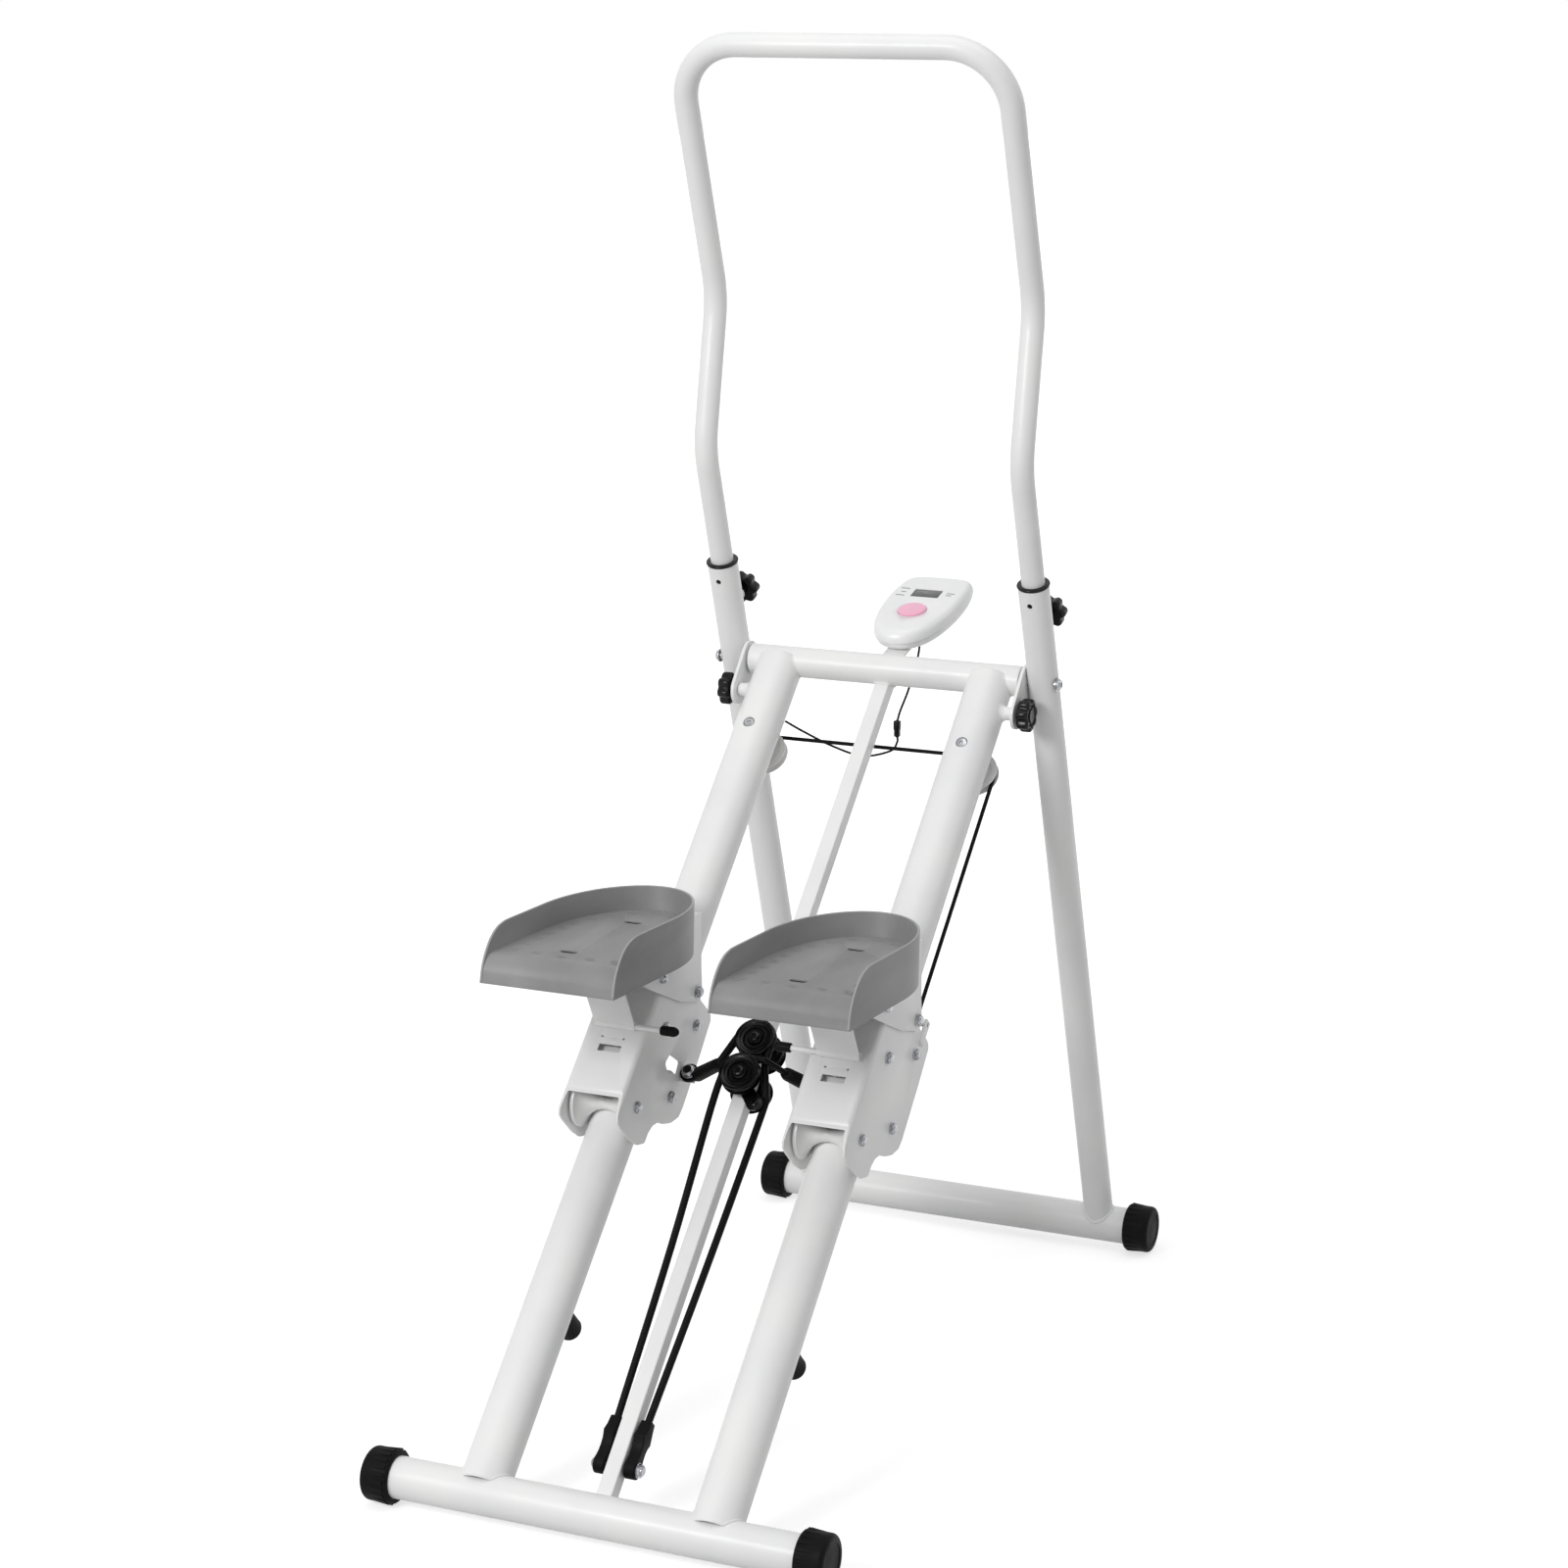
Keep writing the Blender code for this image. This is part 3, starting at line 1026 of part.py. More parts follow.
def pedal(side_name, side):
    """A grey foot plate: a floor with a raised rim round the toe, a skirt below and a lip at the heel."""
    frame = PEDAL_FRAMES[side_name]
    bottom = PEDAL_FLOOR - PEDAL_SKIRT
    body = extruded(pedal_plan(0.0, PEDAL_HEEL - 0.001), bottom, PEDAL_WALL_TOP, "Z")
    rim = [(-0.330, bottom - 0.01), (-0.330, 0.0720), (-0.326, 0.0870), (-0.318, 0.0985), (-0.306, 0.1060)]
    rim += [(-0.285, 0.1150), (-0.262, 0.1225), (-0.240, 0.1280), (-0.215, 0.1315), (-0.190, PEDAL_WALL_TOP + 0.01)]
    rim += [(0.020, PEDAL_WALL_TOP + 0.01), (0.020, bottom - 0.01)]
    above = [(a, b) for a, b in heel_curve(0.0)]
    above = [(PEDAL_HEEL - 0.02, above[0][1])] + above + [(0.05, PEDAL_FLOOR), (0.05, 0.2), (PEDAL_HEEL - 0.02, 0.2)]
    under = heel_curve(PEDAL_SHEET)
    under = [(under[0][0], bottom - 0.02)] + under + [(0.05, PEDAL_FLOOR - PEDAL_SHEET), (0.05, bottom - 0.02)]
    upper_plan = extruded(pedal_plan(PEDAL_SHEET, PEDAL_HEEL - 0.03), 0.0, 0.3, "Z")
    lower_plan = extruded(pedal_plan(PEDAL_SHEET, PEDAL_HEEL - 0.04), 0.0, 0.3, "Z")
    upper = clipped(f"pedal_{side_name}_upper", upper_plan, extruded(above, -0.2, 0.2), frame)
    lower = clipped(f"pedal_{side_name}_lower", lower_plan, extruded(under, -0.2, 0.2), frame)
    outer = BRACKET_INNER + BRACKET_SHEET + RUNNING_GAP
    notch = box((-outer, -0.060, bottom - 0.01), (outer, 0.05, PEDAL_FLOOR - PEDAL_SHEET))
    piece = make_piece(f"pedal_{side_name}", GREY_PLASTIC, frame, [body], [notch], [extruded(rim, -0.2, 0.2)])
    for cutter in (upper, lower):
        modifier = piece.modifiers.new("hollow", "BOOLEAN")
        modifier.operation = "DIFFERENCE"
        modifier.object = cutter


def clipped(name, shape, limit, frame):
    """A hidden cutter: one shape kept within another."""
    cutter = make_piece(name, GREY_PLASTIC, frame, [shape], within=[limit])
    cutter.hide_render = True
    cutter.display_type = "WIRE"
    return cutter


def console_plan(scale, inset=0.0):
    """The console's plan: a rounded shield, narrow towards the user, on its own face axes."""
    half = [(0.0, -0.072), (0.020, -0.067), (0.036, -0.048), (0.046, -0.018), (0.0515, 0.020)]
    half += [(0.0525, 0.055), (0.0500, 0.088), (0.0440, 0.108), (0.0300, 0.1155), (0.0, 0.1165)]
    outline = half + [(-x, y) for x, y in half[-2:0:-1]]
    center = Vector((0.0, 0.025))
    points = []
    for x, y in outline:
        spoke = Vector((x, y)) - center
        spoke = spoke * scale - spoke.normalized() * inset
        points.append((CONSOLE_X + spoke.x, center.y + spoke.y))
    return points


def console_ring(level, scale, inset=0.0):
    return [Vector((x, y, level)) for x, y in console_plan(scale, inset)]


def console_base():
    """The console's lower shell, open upwards, with a hole for the cable."""
    top = CONSOLE_SPLIT - GAP
    inner_floor = CONSOLE_SHELL
    rings = [console_ring(inner_floor, 0.84, CONSOLE_SHELL), console_ring(0.006, 0.94, CONSOLE_SHELL)]
    rings += [console_ring(top, 0.99, CONSOLE_SHELL), console_ring(top, 0.99)]
    rings += [console_ring(0.006, 0.95), console_ring(0.0, 0.84)]
    x, y, _ = in_frame(CONSOLE_FRAME, CABLE_ROUTE[0])
    hole = rod((x, y, -0.01), (x, y, 0.01), CABLE_RADIUS + 2 * GAP, 12)
    make_piece("console_base", WHITE_PLASTIC, CONSOLE_FRAME, [add_rings(rings)], [hole])


def console_cover():
    """The console's upper shell, with openings for the button and the display."""
    inner_top = CONSOLE_HEIGHT - CONSOLE_SHELL
    rings = [console_ring(inner_top, 0.90, CONSOLE_SHELL), console_ring(CONSOLE_SPLIT, 1.0, CONSOLE_SHELL)]
    rings += [console_ring(CONSOLE_SPLIT, 1.0), console_ring(0.022, 0.985), console_ring(0.0275, 0.955)]
    rings.append(console_ring(CONSOLE_HEIGHT, 0.90))
    button = rod((CONSOLE_X, 0.0, 0.02), (CONSOLE_X, 0.0, 0.05), BUTTON_RADIUS + GAP, ROUND_SIDES)
    half_x = LCD_LENGTH / 2.0 + GAP
    half_y = LCD_WIDTH / 2.0 + GAP
    low = (CONSOLE_X - half_x, LCD_ALONG - half_y, 0.02)
    high = (CONSOLE_X + half_x, LCD_ALONG + half_y, 0.05)
    make_piece("console_cover", WHITE_PLASTIC, CONSOLE_FRAME, [add_rings(rings)], [button, box(low, high)])


def console_button():
    """The round button, with a flange under the cover that keeps it in."""
    top = CONSOLE_HEIGHT + BUTTON_PROUD
    under = CONSOLE_HEIGHT - CONSOLE_SHELL - GAP
    foot = top - BUTTON_LENGTH
    profile = [(foot, 0.0), (foot, BUTTON_RADIUS + 0.002), (under, BUTTON_RADIUS + 0.002)]
    profile += [(under, BUTTON_RADIUS), (top - 0.001, BUTTON_RADIUS), (top, BUTTON_RADIUS - 0.001), (top, 0.0)]
    body = turned(profile, (CONSOLE_X, 0.0, 0.0), (0.0, 0.0, 1.0), ROUND_SIDES)
    origin = (CONSOLE_X, 0.0, CONSOLE_HEIGHT)
    make_piece("console_button", PINK_PLASTIC, CONSOLE_FRAME, [body], origin=origin)


def lcd_window():
    """The display window, sunk a little below the cover's face."""
    top = CONSOLE_HEIGHT - 0.0004
    low = (CONSOLE_X - LCD_LENGTH / 2.0, LCD_ALONG - LCD_WIDTH / 2.0, top - LCD_THICKNESS)
    high = (CONSOLE_X + LCD_LENGTH / 2.0, LCD_ALONG + LCD_WIDTH / 2.0, top)
    make_piece("lcd_window", DARK_GLASS, CONSOLE_FRAME, [box(low, high)])


def console_tab():
    """The flat tab that carries the console on the cross tube."""
    low = (CONSOLE_X - TAB_WIDTH / 2.0, -0.084, -GAP - TAB_THICKNESS)
    high = (CONSOLE_X + TAB_WIDTH / 2.0, 0.030, -GAP)
    axis = in_frame(CONSOLE_FRAME, (0.0, HINGE_Y, HINGE_Z))
    seat = rod((-0.3, axis.y, axis.z), (0.3, axis.y, axis.z), CROSS_RADIUS + GAP, ROUND_SIDES)
    make_piece("console_bracket", WHITE, CONSOLE_FRAME, [box(low, high)], [seat])


def cables():
    """The console's lead down to its plug, and the sensor's lead from there to the left rail."""
    top = Vector(CONNECTOR_TOP)
    bottom = top - Vector((0.0, 0.0, CONNECTOR_LENGTH))
    first = smooth_path([*CABLE_ROUTE, top + Vector((0.0, 0.0, 2 * GAP))], 4)
    second = smooth_path([bottom - Vector((0.0, 0.0, 2 * GAP)), *SENSOR_ROUTE], 4)
    make_piece("cable_connector", BLACK_PLASTIC, None, [rod(bottom, top, CONNECTOR_RADIUS, 12)])
    for name, path in (("console_cable", first), ("sensor_cable", second)):
        curve = bpy.data.curves.new(name, "CURVE")
        curve.dimensions = "3D"
        curve.bevel_depth = CABLE_RADIUS
        curve.bevel_resolution = 2
        curve.use_fill_caps = True
        spline = curve.splines.new("POLY")
        spline.points.add(len(path) - 1)
        for point, place in zip(spline.points, path):
            point.co = (*place, 1.0)
        curve.materials.append(CORD)
        obj = bpy.data.objects.new(name, curve)
        bpy.context.scene.collection.objects.link(obj)


clear_scene()

WHITE = make_material("white_powder_coat", (0.86, 0.86, 0.87), 0.35)
WHITE_PLASTIC = make_material("white_plastic", (0.88, 0.88, 0.89), 0.30)
GREY_PLASTIC = make_material("grey_plastic", (0.26, 0.26, 0.26), 0.45)
BLACK_PLASTIC = make_material("black_plastic", (0.012, 0.012, 0.012), 0.40)
RUBBER = make_material("black_rubber", (0.010, 0.010, 0.010), 0.60)
CORD = make_material("black_cord", (0.010, 0.010, 0.010), 0.55)
NYLON = make_material("white_nylon", (0.84, 0.84, 0.84), 0.30)
STEEL = make_material("zinc_steel", (0.62, 0.62, 0.64), 0.25, 1.0)
PINK_PLASTIC = make_material("pink_plastic", (0.93, 0.50, 0.62), 0.35)
DARK_GLASS = make_material("display_window", (0.06, 0.065, 0.065), 0.10)

RAIL_FRAME = make_frame("rail_frame", (0.0, FRONT_BASE_Y, BASE_HEIGHT), RAIL_ANGLE)
UPRIGHT_FRAME = make_frame("upright_frame", (0.0, REAR_BASE_Y, BASE_HEIGHT), UPRIGHT_ANGLE)
FACE = Vector(CONSOLE_FACE_POINT)
FACE_NORMAL = Vector((0.0, -math.sin(CONSOLE_TILT), math.cos(CONSOLE_TILT)))
CONSOLE_FRAME = make_frame("console_frame", FACE - CONSOLE_HEIGHT * FACE_NORMAL, CONSOLE_TILT)
PEDAL_FRAMES = {}
for SIDE_NAME, SIDE in SIDES:
    PIVOT = (SIDE * RAIL_X, PEDAL_PIVOT_ALONG, PEDAL_PIVOT_NORMAL)
    TURN = PEDAL_TILT - RAIL_ANGLE
    PEDAL_FRAMES[SIDE_NAME] = make_frame(f"pedal_frame_{SIDE_NAME}", PIVOT, TURN, RAIL_FRAME)

CABLE_ROUTE = [(0.0228, 0.3496, 0.8838), (0.0248, 0.3436, 0.855), (0.016, 0.3326, 0.818), (0.002, 0.3236, 0.792)]
SENSOR_ROUTE = [(0.002, 0.3236, 0.750), (-0.006, 0.3185, 0.7385), (-0.039, 0.3045, 0.7320), (-0.073, 0.2845, 0.7460)]
SENSOR_ROUTE += [(-0.105, 0.2605, 0.7680), (-0.1235, 0.2450, 0.7830)]

base_tube("front_base_tube", FRONT_BASE_Y)
base_caps("front_cap", FRONT_BASE_Y)
base_tube("rear_base_tube", REAR_BASE_Y)
base_caps("rear_cap", REAR_BASE_Y)
cross_tube()
centre_bar()
guide_pulleys()
rope_cross()
band_pulleys()
pulley_bracket()
anchor_bolt()
bands()
handlebar()
console_base()
console_cover()
console_button()
lcd_window()
console_tab()
cables()
for SIDE_NAME, SIDE in SIDES:
    rail(SIDE_NAME, SIDE)
    stop_buffer(SIDE_NAME, SIDE)
    guide_bolt(SIDE_NAME, SIDE)
    rope_run(SIDE_NAME, SIDE)
    carriage_housing(SIDE_NAME, SIDE)
    rollers(SIDE_NAME, SIDE)
    upright(SIDE_NAME, SIDE)
    pivot_bolt(SIDE_NAME, SIDE)
    bushing(SIDE_NAME, SIDE)
    lock_knob(SIDE_NAME, SIDE)
    clamp_knob(SIDE_NAME, SIDE)
    pedal_bracket(SIDE_NAME, SIDE)
    latch_lever(SIDE_NAME, SIDE)
    pedal(SIDE_NAME, SIDE)
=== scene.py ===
"""A folding vertical climber: a white tube frame, two pedals on carriages, a rope link and elastic bands.

Metres, +Z up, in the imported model's own frame. Lengths along a rail or an upright are measured from
the axis of its base tube, and "normal" is square to it, towards the user's side.
"""

import math

import bmesh
import bpy
from mathutils import Matrix, Vector


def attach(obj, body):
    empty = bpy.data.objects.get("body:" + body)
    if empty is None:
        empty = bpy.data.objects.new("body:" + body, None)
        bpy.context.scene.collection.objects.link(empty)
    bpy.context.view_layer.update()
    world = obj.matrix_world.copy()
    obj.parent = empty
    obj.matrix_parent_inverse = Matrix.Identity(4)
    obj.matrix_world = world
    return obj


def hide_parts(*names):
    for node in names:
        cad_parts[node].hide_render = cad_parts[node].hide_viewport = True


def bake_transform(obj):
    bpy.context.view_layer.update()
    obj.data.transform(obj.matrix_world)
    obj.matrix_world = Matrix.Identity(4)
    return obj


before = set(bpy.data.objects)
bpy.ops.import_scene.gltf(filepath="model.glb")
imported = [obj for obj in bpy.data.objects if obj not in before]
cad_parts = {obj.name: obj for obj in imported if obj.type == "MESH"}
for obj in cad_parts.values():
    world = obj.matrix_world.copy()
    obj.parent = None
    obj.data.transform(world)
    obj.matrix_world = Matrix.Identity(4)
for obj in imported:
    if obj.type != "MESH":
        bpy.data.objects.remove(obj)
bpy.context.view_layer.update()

# What all the parts share
GAP = 0.0003
TUBE_WALL = 0.002
BOLT_BORE = 0.0043
AXLE_RADIUS = 0.004
HEAD_RADIUS = 0.0068
WASHER = 0.0012
SMALL_NUT = (0.0126, 0.0036, 0.0027, 0.0008)

# How edges are found and rounded
WELD_REACH = 0.00001
FLAT_ANGLE = math.radians(0.2)
SHARP_ANGLE = math.radians(35)

# Base tubes and their end caps
BASE_HEIGHT = 0.033
BASE_RADIUS = 0.025
BASE_HALF_WIDTH = 0.2877
FRONT_BASE_Y = -0.56545
REAR_BASE_Y = 0.56545
CAP_RADIUS = 0.0335
CAP_LENGTH = 0.036
CAP_RIBS = 22
RIB_FADE = 0.35

# Rails, cross tube, centre bar and the hinge line
RAIL_X = 0.147
RAIL_RADIUS = 0.03
RAIL_START = 0.01
HINGE_Y = 0.28715
HINGE_Z = 0.854
CROSS_RADIUS = 0.02
CROSS_HALF_WIDTH = 0.1885
BAR_HALF = 0.01
BAR_NORMAL = -0.012
BAR_CORNER = 0.0022
BUFFER_ALONG = 0.244
BUFFER_RADIUS = 0.015
BUFFER_END = 0.08

# Rear uprights, hinge plates and knobs
UPRIGHT_X = 0.215
UPRIGHT_RADIUS = 0.02
UPRIGHT_TOP_Y = 0.24935
UPRIGHT_TOP_Z = 0.9859
PLATE_INNER_X = 0.192
LOCK_ALONG = 1.133
LOCK_BOSS_END = 0.1915
PIVOT_RADIUS = 0.005
KNOB_RADIUS = 0.0215
KNOB_LOBES = 7
LOBE_DEPTH = 0.0044
KNOB_THICKNESS = 0.016
SCREW_RADIUS = 0.004
PITCH = 0.001
LOCK_KNOB_INNER_X = 0.2
CLAMP_DROP = 0.062
CLAMP_BOSS_END = 0.032
SPRING_HOLE_DROP = 0.019

# Handlebar
HANDLE_RADIUS = 0.015
HANDLE_INSERTION = 0.1
HANDLE_STRAIGHT = 0.1644
HANDLE_HIGH_BEND = (0.23455, 1.3342)
HANDLE_TOP = (0.12415, 1.6498)
HANDLE_BEND_RADIUS = 0.11
HANDLE_CORNER_RADIUS = 0.078

# Guide pulleys and the rope that joins the carriages
GUIDE_ALONG = 1.065
GUIDE_NORMAL = -0.042
GUIDE_RADIUS = 0.03
GUIDE_HALF = 0.006
GUIDE_ROPE_RADIUS = 0.026
ROPE_RADIUS = 0.0025
PLAIT = 0.004
ROPE_PIN_ALONG = 0.699

# Band pulleys, elastic bands and their anchor
BAND_LOWER_ALONG = 0.569
BAND_UPPER_ALONG = 0.623
BAND_PULLEY_RADIUS = 0.0255
BAND_WRAP_RADIUS = 0.022
BAND_PULLEY_HALF = 0.007
BAND_RADIUS = 0.0045
BAND_LOWER_NORMAL = 0.0185
BAND_UPPER_NORMAL = 0.008
BAND_PULLEYS = (
    ("band_pulley_lower", BAND_LOWER_ALONG, BAND_LOWER_NORMAL),
    ("band_pulley_upper", BAND_UPPER_ALONG, BAND_UPPER_NORMAL),
)
LOBE = (0.022, 0.541)
ANCHOR = (0.066, BAR_NORMAL)
CLIP_TOP_ALONG = 0.125

# Carriage housing and its rollers
PLATE_OUTER = 0.04
SHEET = 0.0025
FRONT_NORMAL = 0.081
HOUSING_BEND = 0.007
AXLE_NORMAL = 0.038
AXLES = {
    "front_low": (0.495, AXLE_NORMAL),
    "front_high": (0.607, AXLE_NORMAL),
    "rear_low": (0.552, -AXLE_NORMAL),
    "rear_high": (0.655, -AXLE_NORMAL),
}
ROLLER_HALF_LENGTH = 0.035
PEDAL_PIVOT = (0.6845, -0.005)
STUD_ALONG = 0.59
STUD_OFFSET = 0.052
STUD_SEAT = -0.045

# Pedal bracket and pedal
PEDAL_TILT = math.radians(-2.7)
PEDAL_FLOOR = 0.1025
PEDAL_SHEET = 0.003
PEDAL_WIDTH = 0.175
PEDAL_SHIFT = 0.0045
PEDAL_HEEL = -0.33
PEDAL_TOE = -0.018
PEDAL_TOE_LENGTH = 0.153
PEDAL_SKIRT = 0.033
RIM = 0.1327
RIM_BEAD = 0.0015
HEEL_CURL = 0.024
PEDAL_SLOTS = (-0.2646, -0.0944)
BRACKET_INNER = 0.0404
BRACKET_SHEET = 0.003
GUSSET_BOLT = (-0.1005, 0.0401)
LEG_HALF = 0.027
LEVER = (0.578, 0.0867)

# Console
CONSOLE_TILT = math.radians(14.4)
CONSOLE_FACE_POINT = (0, 0.3657, 0.9195)
CONSOLE_X = 0.0045
CONSOLE_HEIGHT = 0.03
BUTTON_RADIUS = 0.019
LCD_ALONG = 0.054
LCD_LENGTH = 0.039
LCD_WIDTH = 0.024
LCD_FIT = 0.985
CABLE_RADIUS = 0.0015
CONNECTOR_TOP = (0.002, 0.3236, 0.78)
CONNECTOR_LENGTH = 0.023

SIDES = (("left", -1), ("right", 1))
RAIL_ANGLE = math.atan2(HINGE_Z - BASE_HEIGHT, HINGE_Y - FRONT_BASE_Y)
RAIL_LENGTH = math.hypot(HINGE_Z - BASE_HEIGHT, HINGE_Y - FRONT_BASE_Y)
UPRIGHT_ANGLE = math.atan2(REAR_BASE_Y - UPRIGHT_TOP_Y, UPRIGHT_TOP_Z - BASE_HEIGHT)
UPRIGHT_LENGTH = math.hypot(REAR_BASE_Y - UPRIGHT_TOP_Y, UPRIGHT_TOP_Z - BASE_HEIGHT)

ORIGIN = (0, 0, 0)
ACROSS = (1, 0, 0)
BACK_ACROSS = (-1, 0, 0)
ALONG = (0, 1, 0)
UP = (0, 0, 1)
WORLD = Matrix.Identity(4)
RAIL = Matrix.Translation((0, FRONT_BASE_Y, BASE_HEIGHT)) @ Matrix.Rotation(RAIL_ANGLE, 4, "X")
UPRIGHT = Matrix.Translation((0, REAR_BASE_Y, BASE_HEIGHT)) @ Matrix.Rotation(UPRIGHT_ANGLE, 4, "X")
CONSOLE = Matrix.Translation(CONSOLE_FACE_POINT) @ Matrix.Rotation(CONSOLE_TILT, 4, "X")
CONSOLE = CONSOLE @ Matrix.Translation((0, 0, -CONSOLE_HEIGHT))


def pedal_place(side):
    """The pedal's own frame: level lengths from its pivot, with the toe ahead."""
    pivot = Matrix.Translation((side * RAIL_X, *PEDAL_PIVOT))
    return RAIL @ pivot @ Matrix.Rotation(PEDAL_TILT - RAIL_ANGLE, 4, "X")


def linked(name, data):
    """An object of this data, in the scene."""
    obj = bpy.data.objects.new(name, data)
    bpy.context.scene.collection.objects.link(obj)
    return obj


def linear(hex_color):
    """An sRGB hex colour as the linear values that a shader takes."""
    channels = []
    for i in (0, 2, 4):
        value = int(hex_color[i : i + 2], 16) / 255
        channels.append(value / 12.92 if value <= 0.04045 else ((value + 0.055) / 1.055) ** 2.4)
    return (*channels, 1)


def add(tree, kind, inputs=None, **settings):
    """Adds a node with its settings. An input is given a value, or the socket that feeds it."""
    made = tree.nodes.new(kind)
    for name, value in settings.items():
        setattr(made, name, value)
    for name, value in (inputs or {}).items():
        if isinstance(value, bpy.types.NodeSocket):
            tree.links.new(value, made.inputs[name])
        else:
            made.inputs[name].default_value = value
    return made


def new_material(name):
    material = bpy.data.materials.new(name)
    material.use_nodes = True
    return material, material.node_tree, material.node_tree.nodes["Principled BSDF"]


def speckle(tree, per_metre, detail, stretch=(1, 1, 1), mapped=False):
    """Noise on the object's own metres, or on a cord's map of turns and metres."""
    if mapped:
        place = add(tree, "ShaderNodeUVMap", uv_map="UVMap").outputs["UV"]
    else:
        place = add(tree, "ShaderNodeTexCoord").outputs["Object"]
    scaled = add(tree, "ShaderNodeMapping", {"Vector": place, "Scale": stretch}).outputs["Vector"]
    settings = {"Vector": scaled, "Scale": per_metre, "Detail": detail}
    return add(tree, "ShaderNodeTexNoise", settings).outputs["Fac"]


def spread(tree, source, low, high):
    """A noise value mapped from its usual 0.35 to 0.65 onto a range."""
    settings = {"Value": source, "From Min": 0.35, "From Max": 0.65, "To Min": low, "To Max": high}
    return add(tree, "ShaderNodeMapRange", settings).outputs["Result"]


def calculated(tree, operation, first, second=0):
    return add(tree, "ShaderNodeMath", {0: first, 1: second}, operation=operation).outputs[0]


def two_tone(tree, factor, first, second):
    """A colour between two hex values."""
    mixed = add(tree, "ShaderNodeMix", {"Factor": factor}, data_type="RGBA")
    mixed.inputs[6].default_value = linear(first)
    mixed.inputs[7].default_value = linear(second)
    return mixed.outputs[2]


def tinted(tree, noise, first, second):
    """A colour between two hex values, by a noise value."""
    return two_tone(tree, spread(tree, noise, 0, 1), first, second)


def bumped(tree, shader, source, distance, strength):
    bump = add(tree, "ShaderNodeBump", {"Height": source, "Distance": distance, "Strength": strength})
    tree.links.new(bump.outputs["Normal"], shader.inputs["Normal"])


def mottled(name, broad, colours, fine, relief, rough, values):
    """A material with a broad mottle in its colour and a fine grain in its relief.

    A noise is (marks per metre, detail, stretch). The relief is (distance, strength). The roughness is a
    number, or (low, high) over the broad or the fine noise, as "broad" or "fine" says before them.
    """
    material, tree, shader = new_material(name)
    noises = {"broad": speckle(tree, *broad), "fine": speckle(tree, *fine)}
    tree.links.new(tinted(tree, noises["broad"], *colours), shader.inputs["Base Color"])
    if isinstance(rough, tuple):
        tree.links.new(spread(tree, noises[rough[0]], *rough[1:]), shader.inputs["Roughness"])
    else:
        shader.inputs["Roughness"].default_value = rough
    for socket, value in values.items():
        shader.inputs[socket].default_value = value
    if relief:
        bumped(tree, shader, noises["fine"], *relief)
    return material


def braided_polyester():
    """Black braided polyester rope. Strands cross at both diagonals, with a plait every 4 mm."""
    material, tree, shader = new_material("braided_polyester_rope")
    along = add(tree, "ShaderNodeUVMap", uv_map="UVMap").outputs["UV"]
    split = add(tree, "ShaderNodeSeparateXYZ", {"Vector": along}).outputs
    turn = calculated(tree, "MULTIPLY", split["X"], 4 * math.tau)
    run = calculated(tree, "MULTIPLY", split["Y"], math.tau / PLAIT)
    waves = [calculated(tree, "SINE", calculated(tree, way, run, turn)) for way in ("ADD", "SUBTRACT")]
    weave = calculated(tree, "MAXIMUM", *waves)
    settings = {"Value": weave, "From Min": -1, "From Max": 1}
    height = add(tree, "ShaderNodeMapRange", settings).outputs["Result"]
    # The weave's grooves are painted darker than its crests: painted shade between the strands.
    tree.links.new(two_tone(tree, height, "070708", "111112"), shader.inputs["Base Color"])
    shader.inputs["Roughness"].default_value = 0.7
    shader.inputs["Specular IOR Level"].default_value = 0.1
    bumped(tree, shader, height, 0.0004, 0.8)
    return material


# White polyester powder on steel tube, cured glossy, with a faint orange peel 2 to 3 mm wide.
WHITE_STEEL = mottled(
    "powder_coated_steel", (9, 3), ("f0f0ef", "ebebec"), (420, 2), (0.00012, 0.6), ("broad", 0.4, 0.52),
    {"Coat Weight": 0.12, "Coat Roughness": 0.12},
)
# Grey polypropylene foot plates, with a spark-eroded grain of about 1 mm and faint flow marks. The lip is
# painted paler, as a painted highlight along the rim's top edge.
GREY_PLASTIC, HIGHLIGHT_PLASTIC = [
    mottled(
        name, (14, 4, (1, 0.35, 1)), colours, (1100, 3), (0.00016, 0.7), ("fine", 0.42, 0.58), {"IOR": 1.49},
    )
    for name, colours in (
        ("moulded_polypropylene", ("8e8e8e", "7e7e7f")),
        ("painted_highlight_polypropylene", ("a9a9a9", "9b9b9b")),
    )
]
# Black glass-filled nylon of knobs and pulleys: satin, with a grain of under 1 mm.
BLACK_NYLON = mottled(
    "black_moulded_nylon", (60, 3), ("09090a", "060607"), (1500, 2), (0.00005, 0.4), ("fine", 0.14, 0.24),
    {"IOR": 1.53, "Specular IOR Level": 0.2},
)
# Black PVC rubber of end caps and buffers: a soft sheen, a matt grain of about 1 mm and pale dust.
RUBBER = mottled(
    "moulded_black_rubber", (35, 5), ("080808", "0f0f0f"), (900, 4), (0.0001, 0.6), ("broad", 0.45, 0.62),
    {"IOR": 1.52, "Specular IOR Level": 0.08},
)
# Black latex of the bands: a smooth skin, with shallow stretch lines about 3 mm apart on the cord's own map.
LATEX = mottled(
    "black_latex_band", (40, 3), ("070707", "0d0d0d"), (300, 2, (1, 1, 1), True), (0.0002, 0.6),
    ("broad", 0.38, 0.52), {"IOR": 1.52, "Specular IOR Level": 0.1},
)
ROPE = braided_polyester()
# Thin black PVC cable sheath: smooth, a little glossy, with a faint ripple every 2 mm.
SHEATH = mottled(
    "black_pvc_sheath", (50, 2), ("0c0c0d", "121213"), (500, 1), (0.0001, 0.4), 0.35,
    {"IOR": 1.53, "Specular IOR Level": 0.12},
)
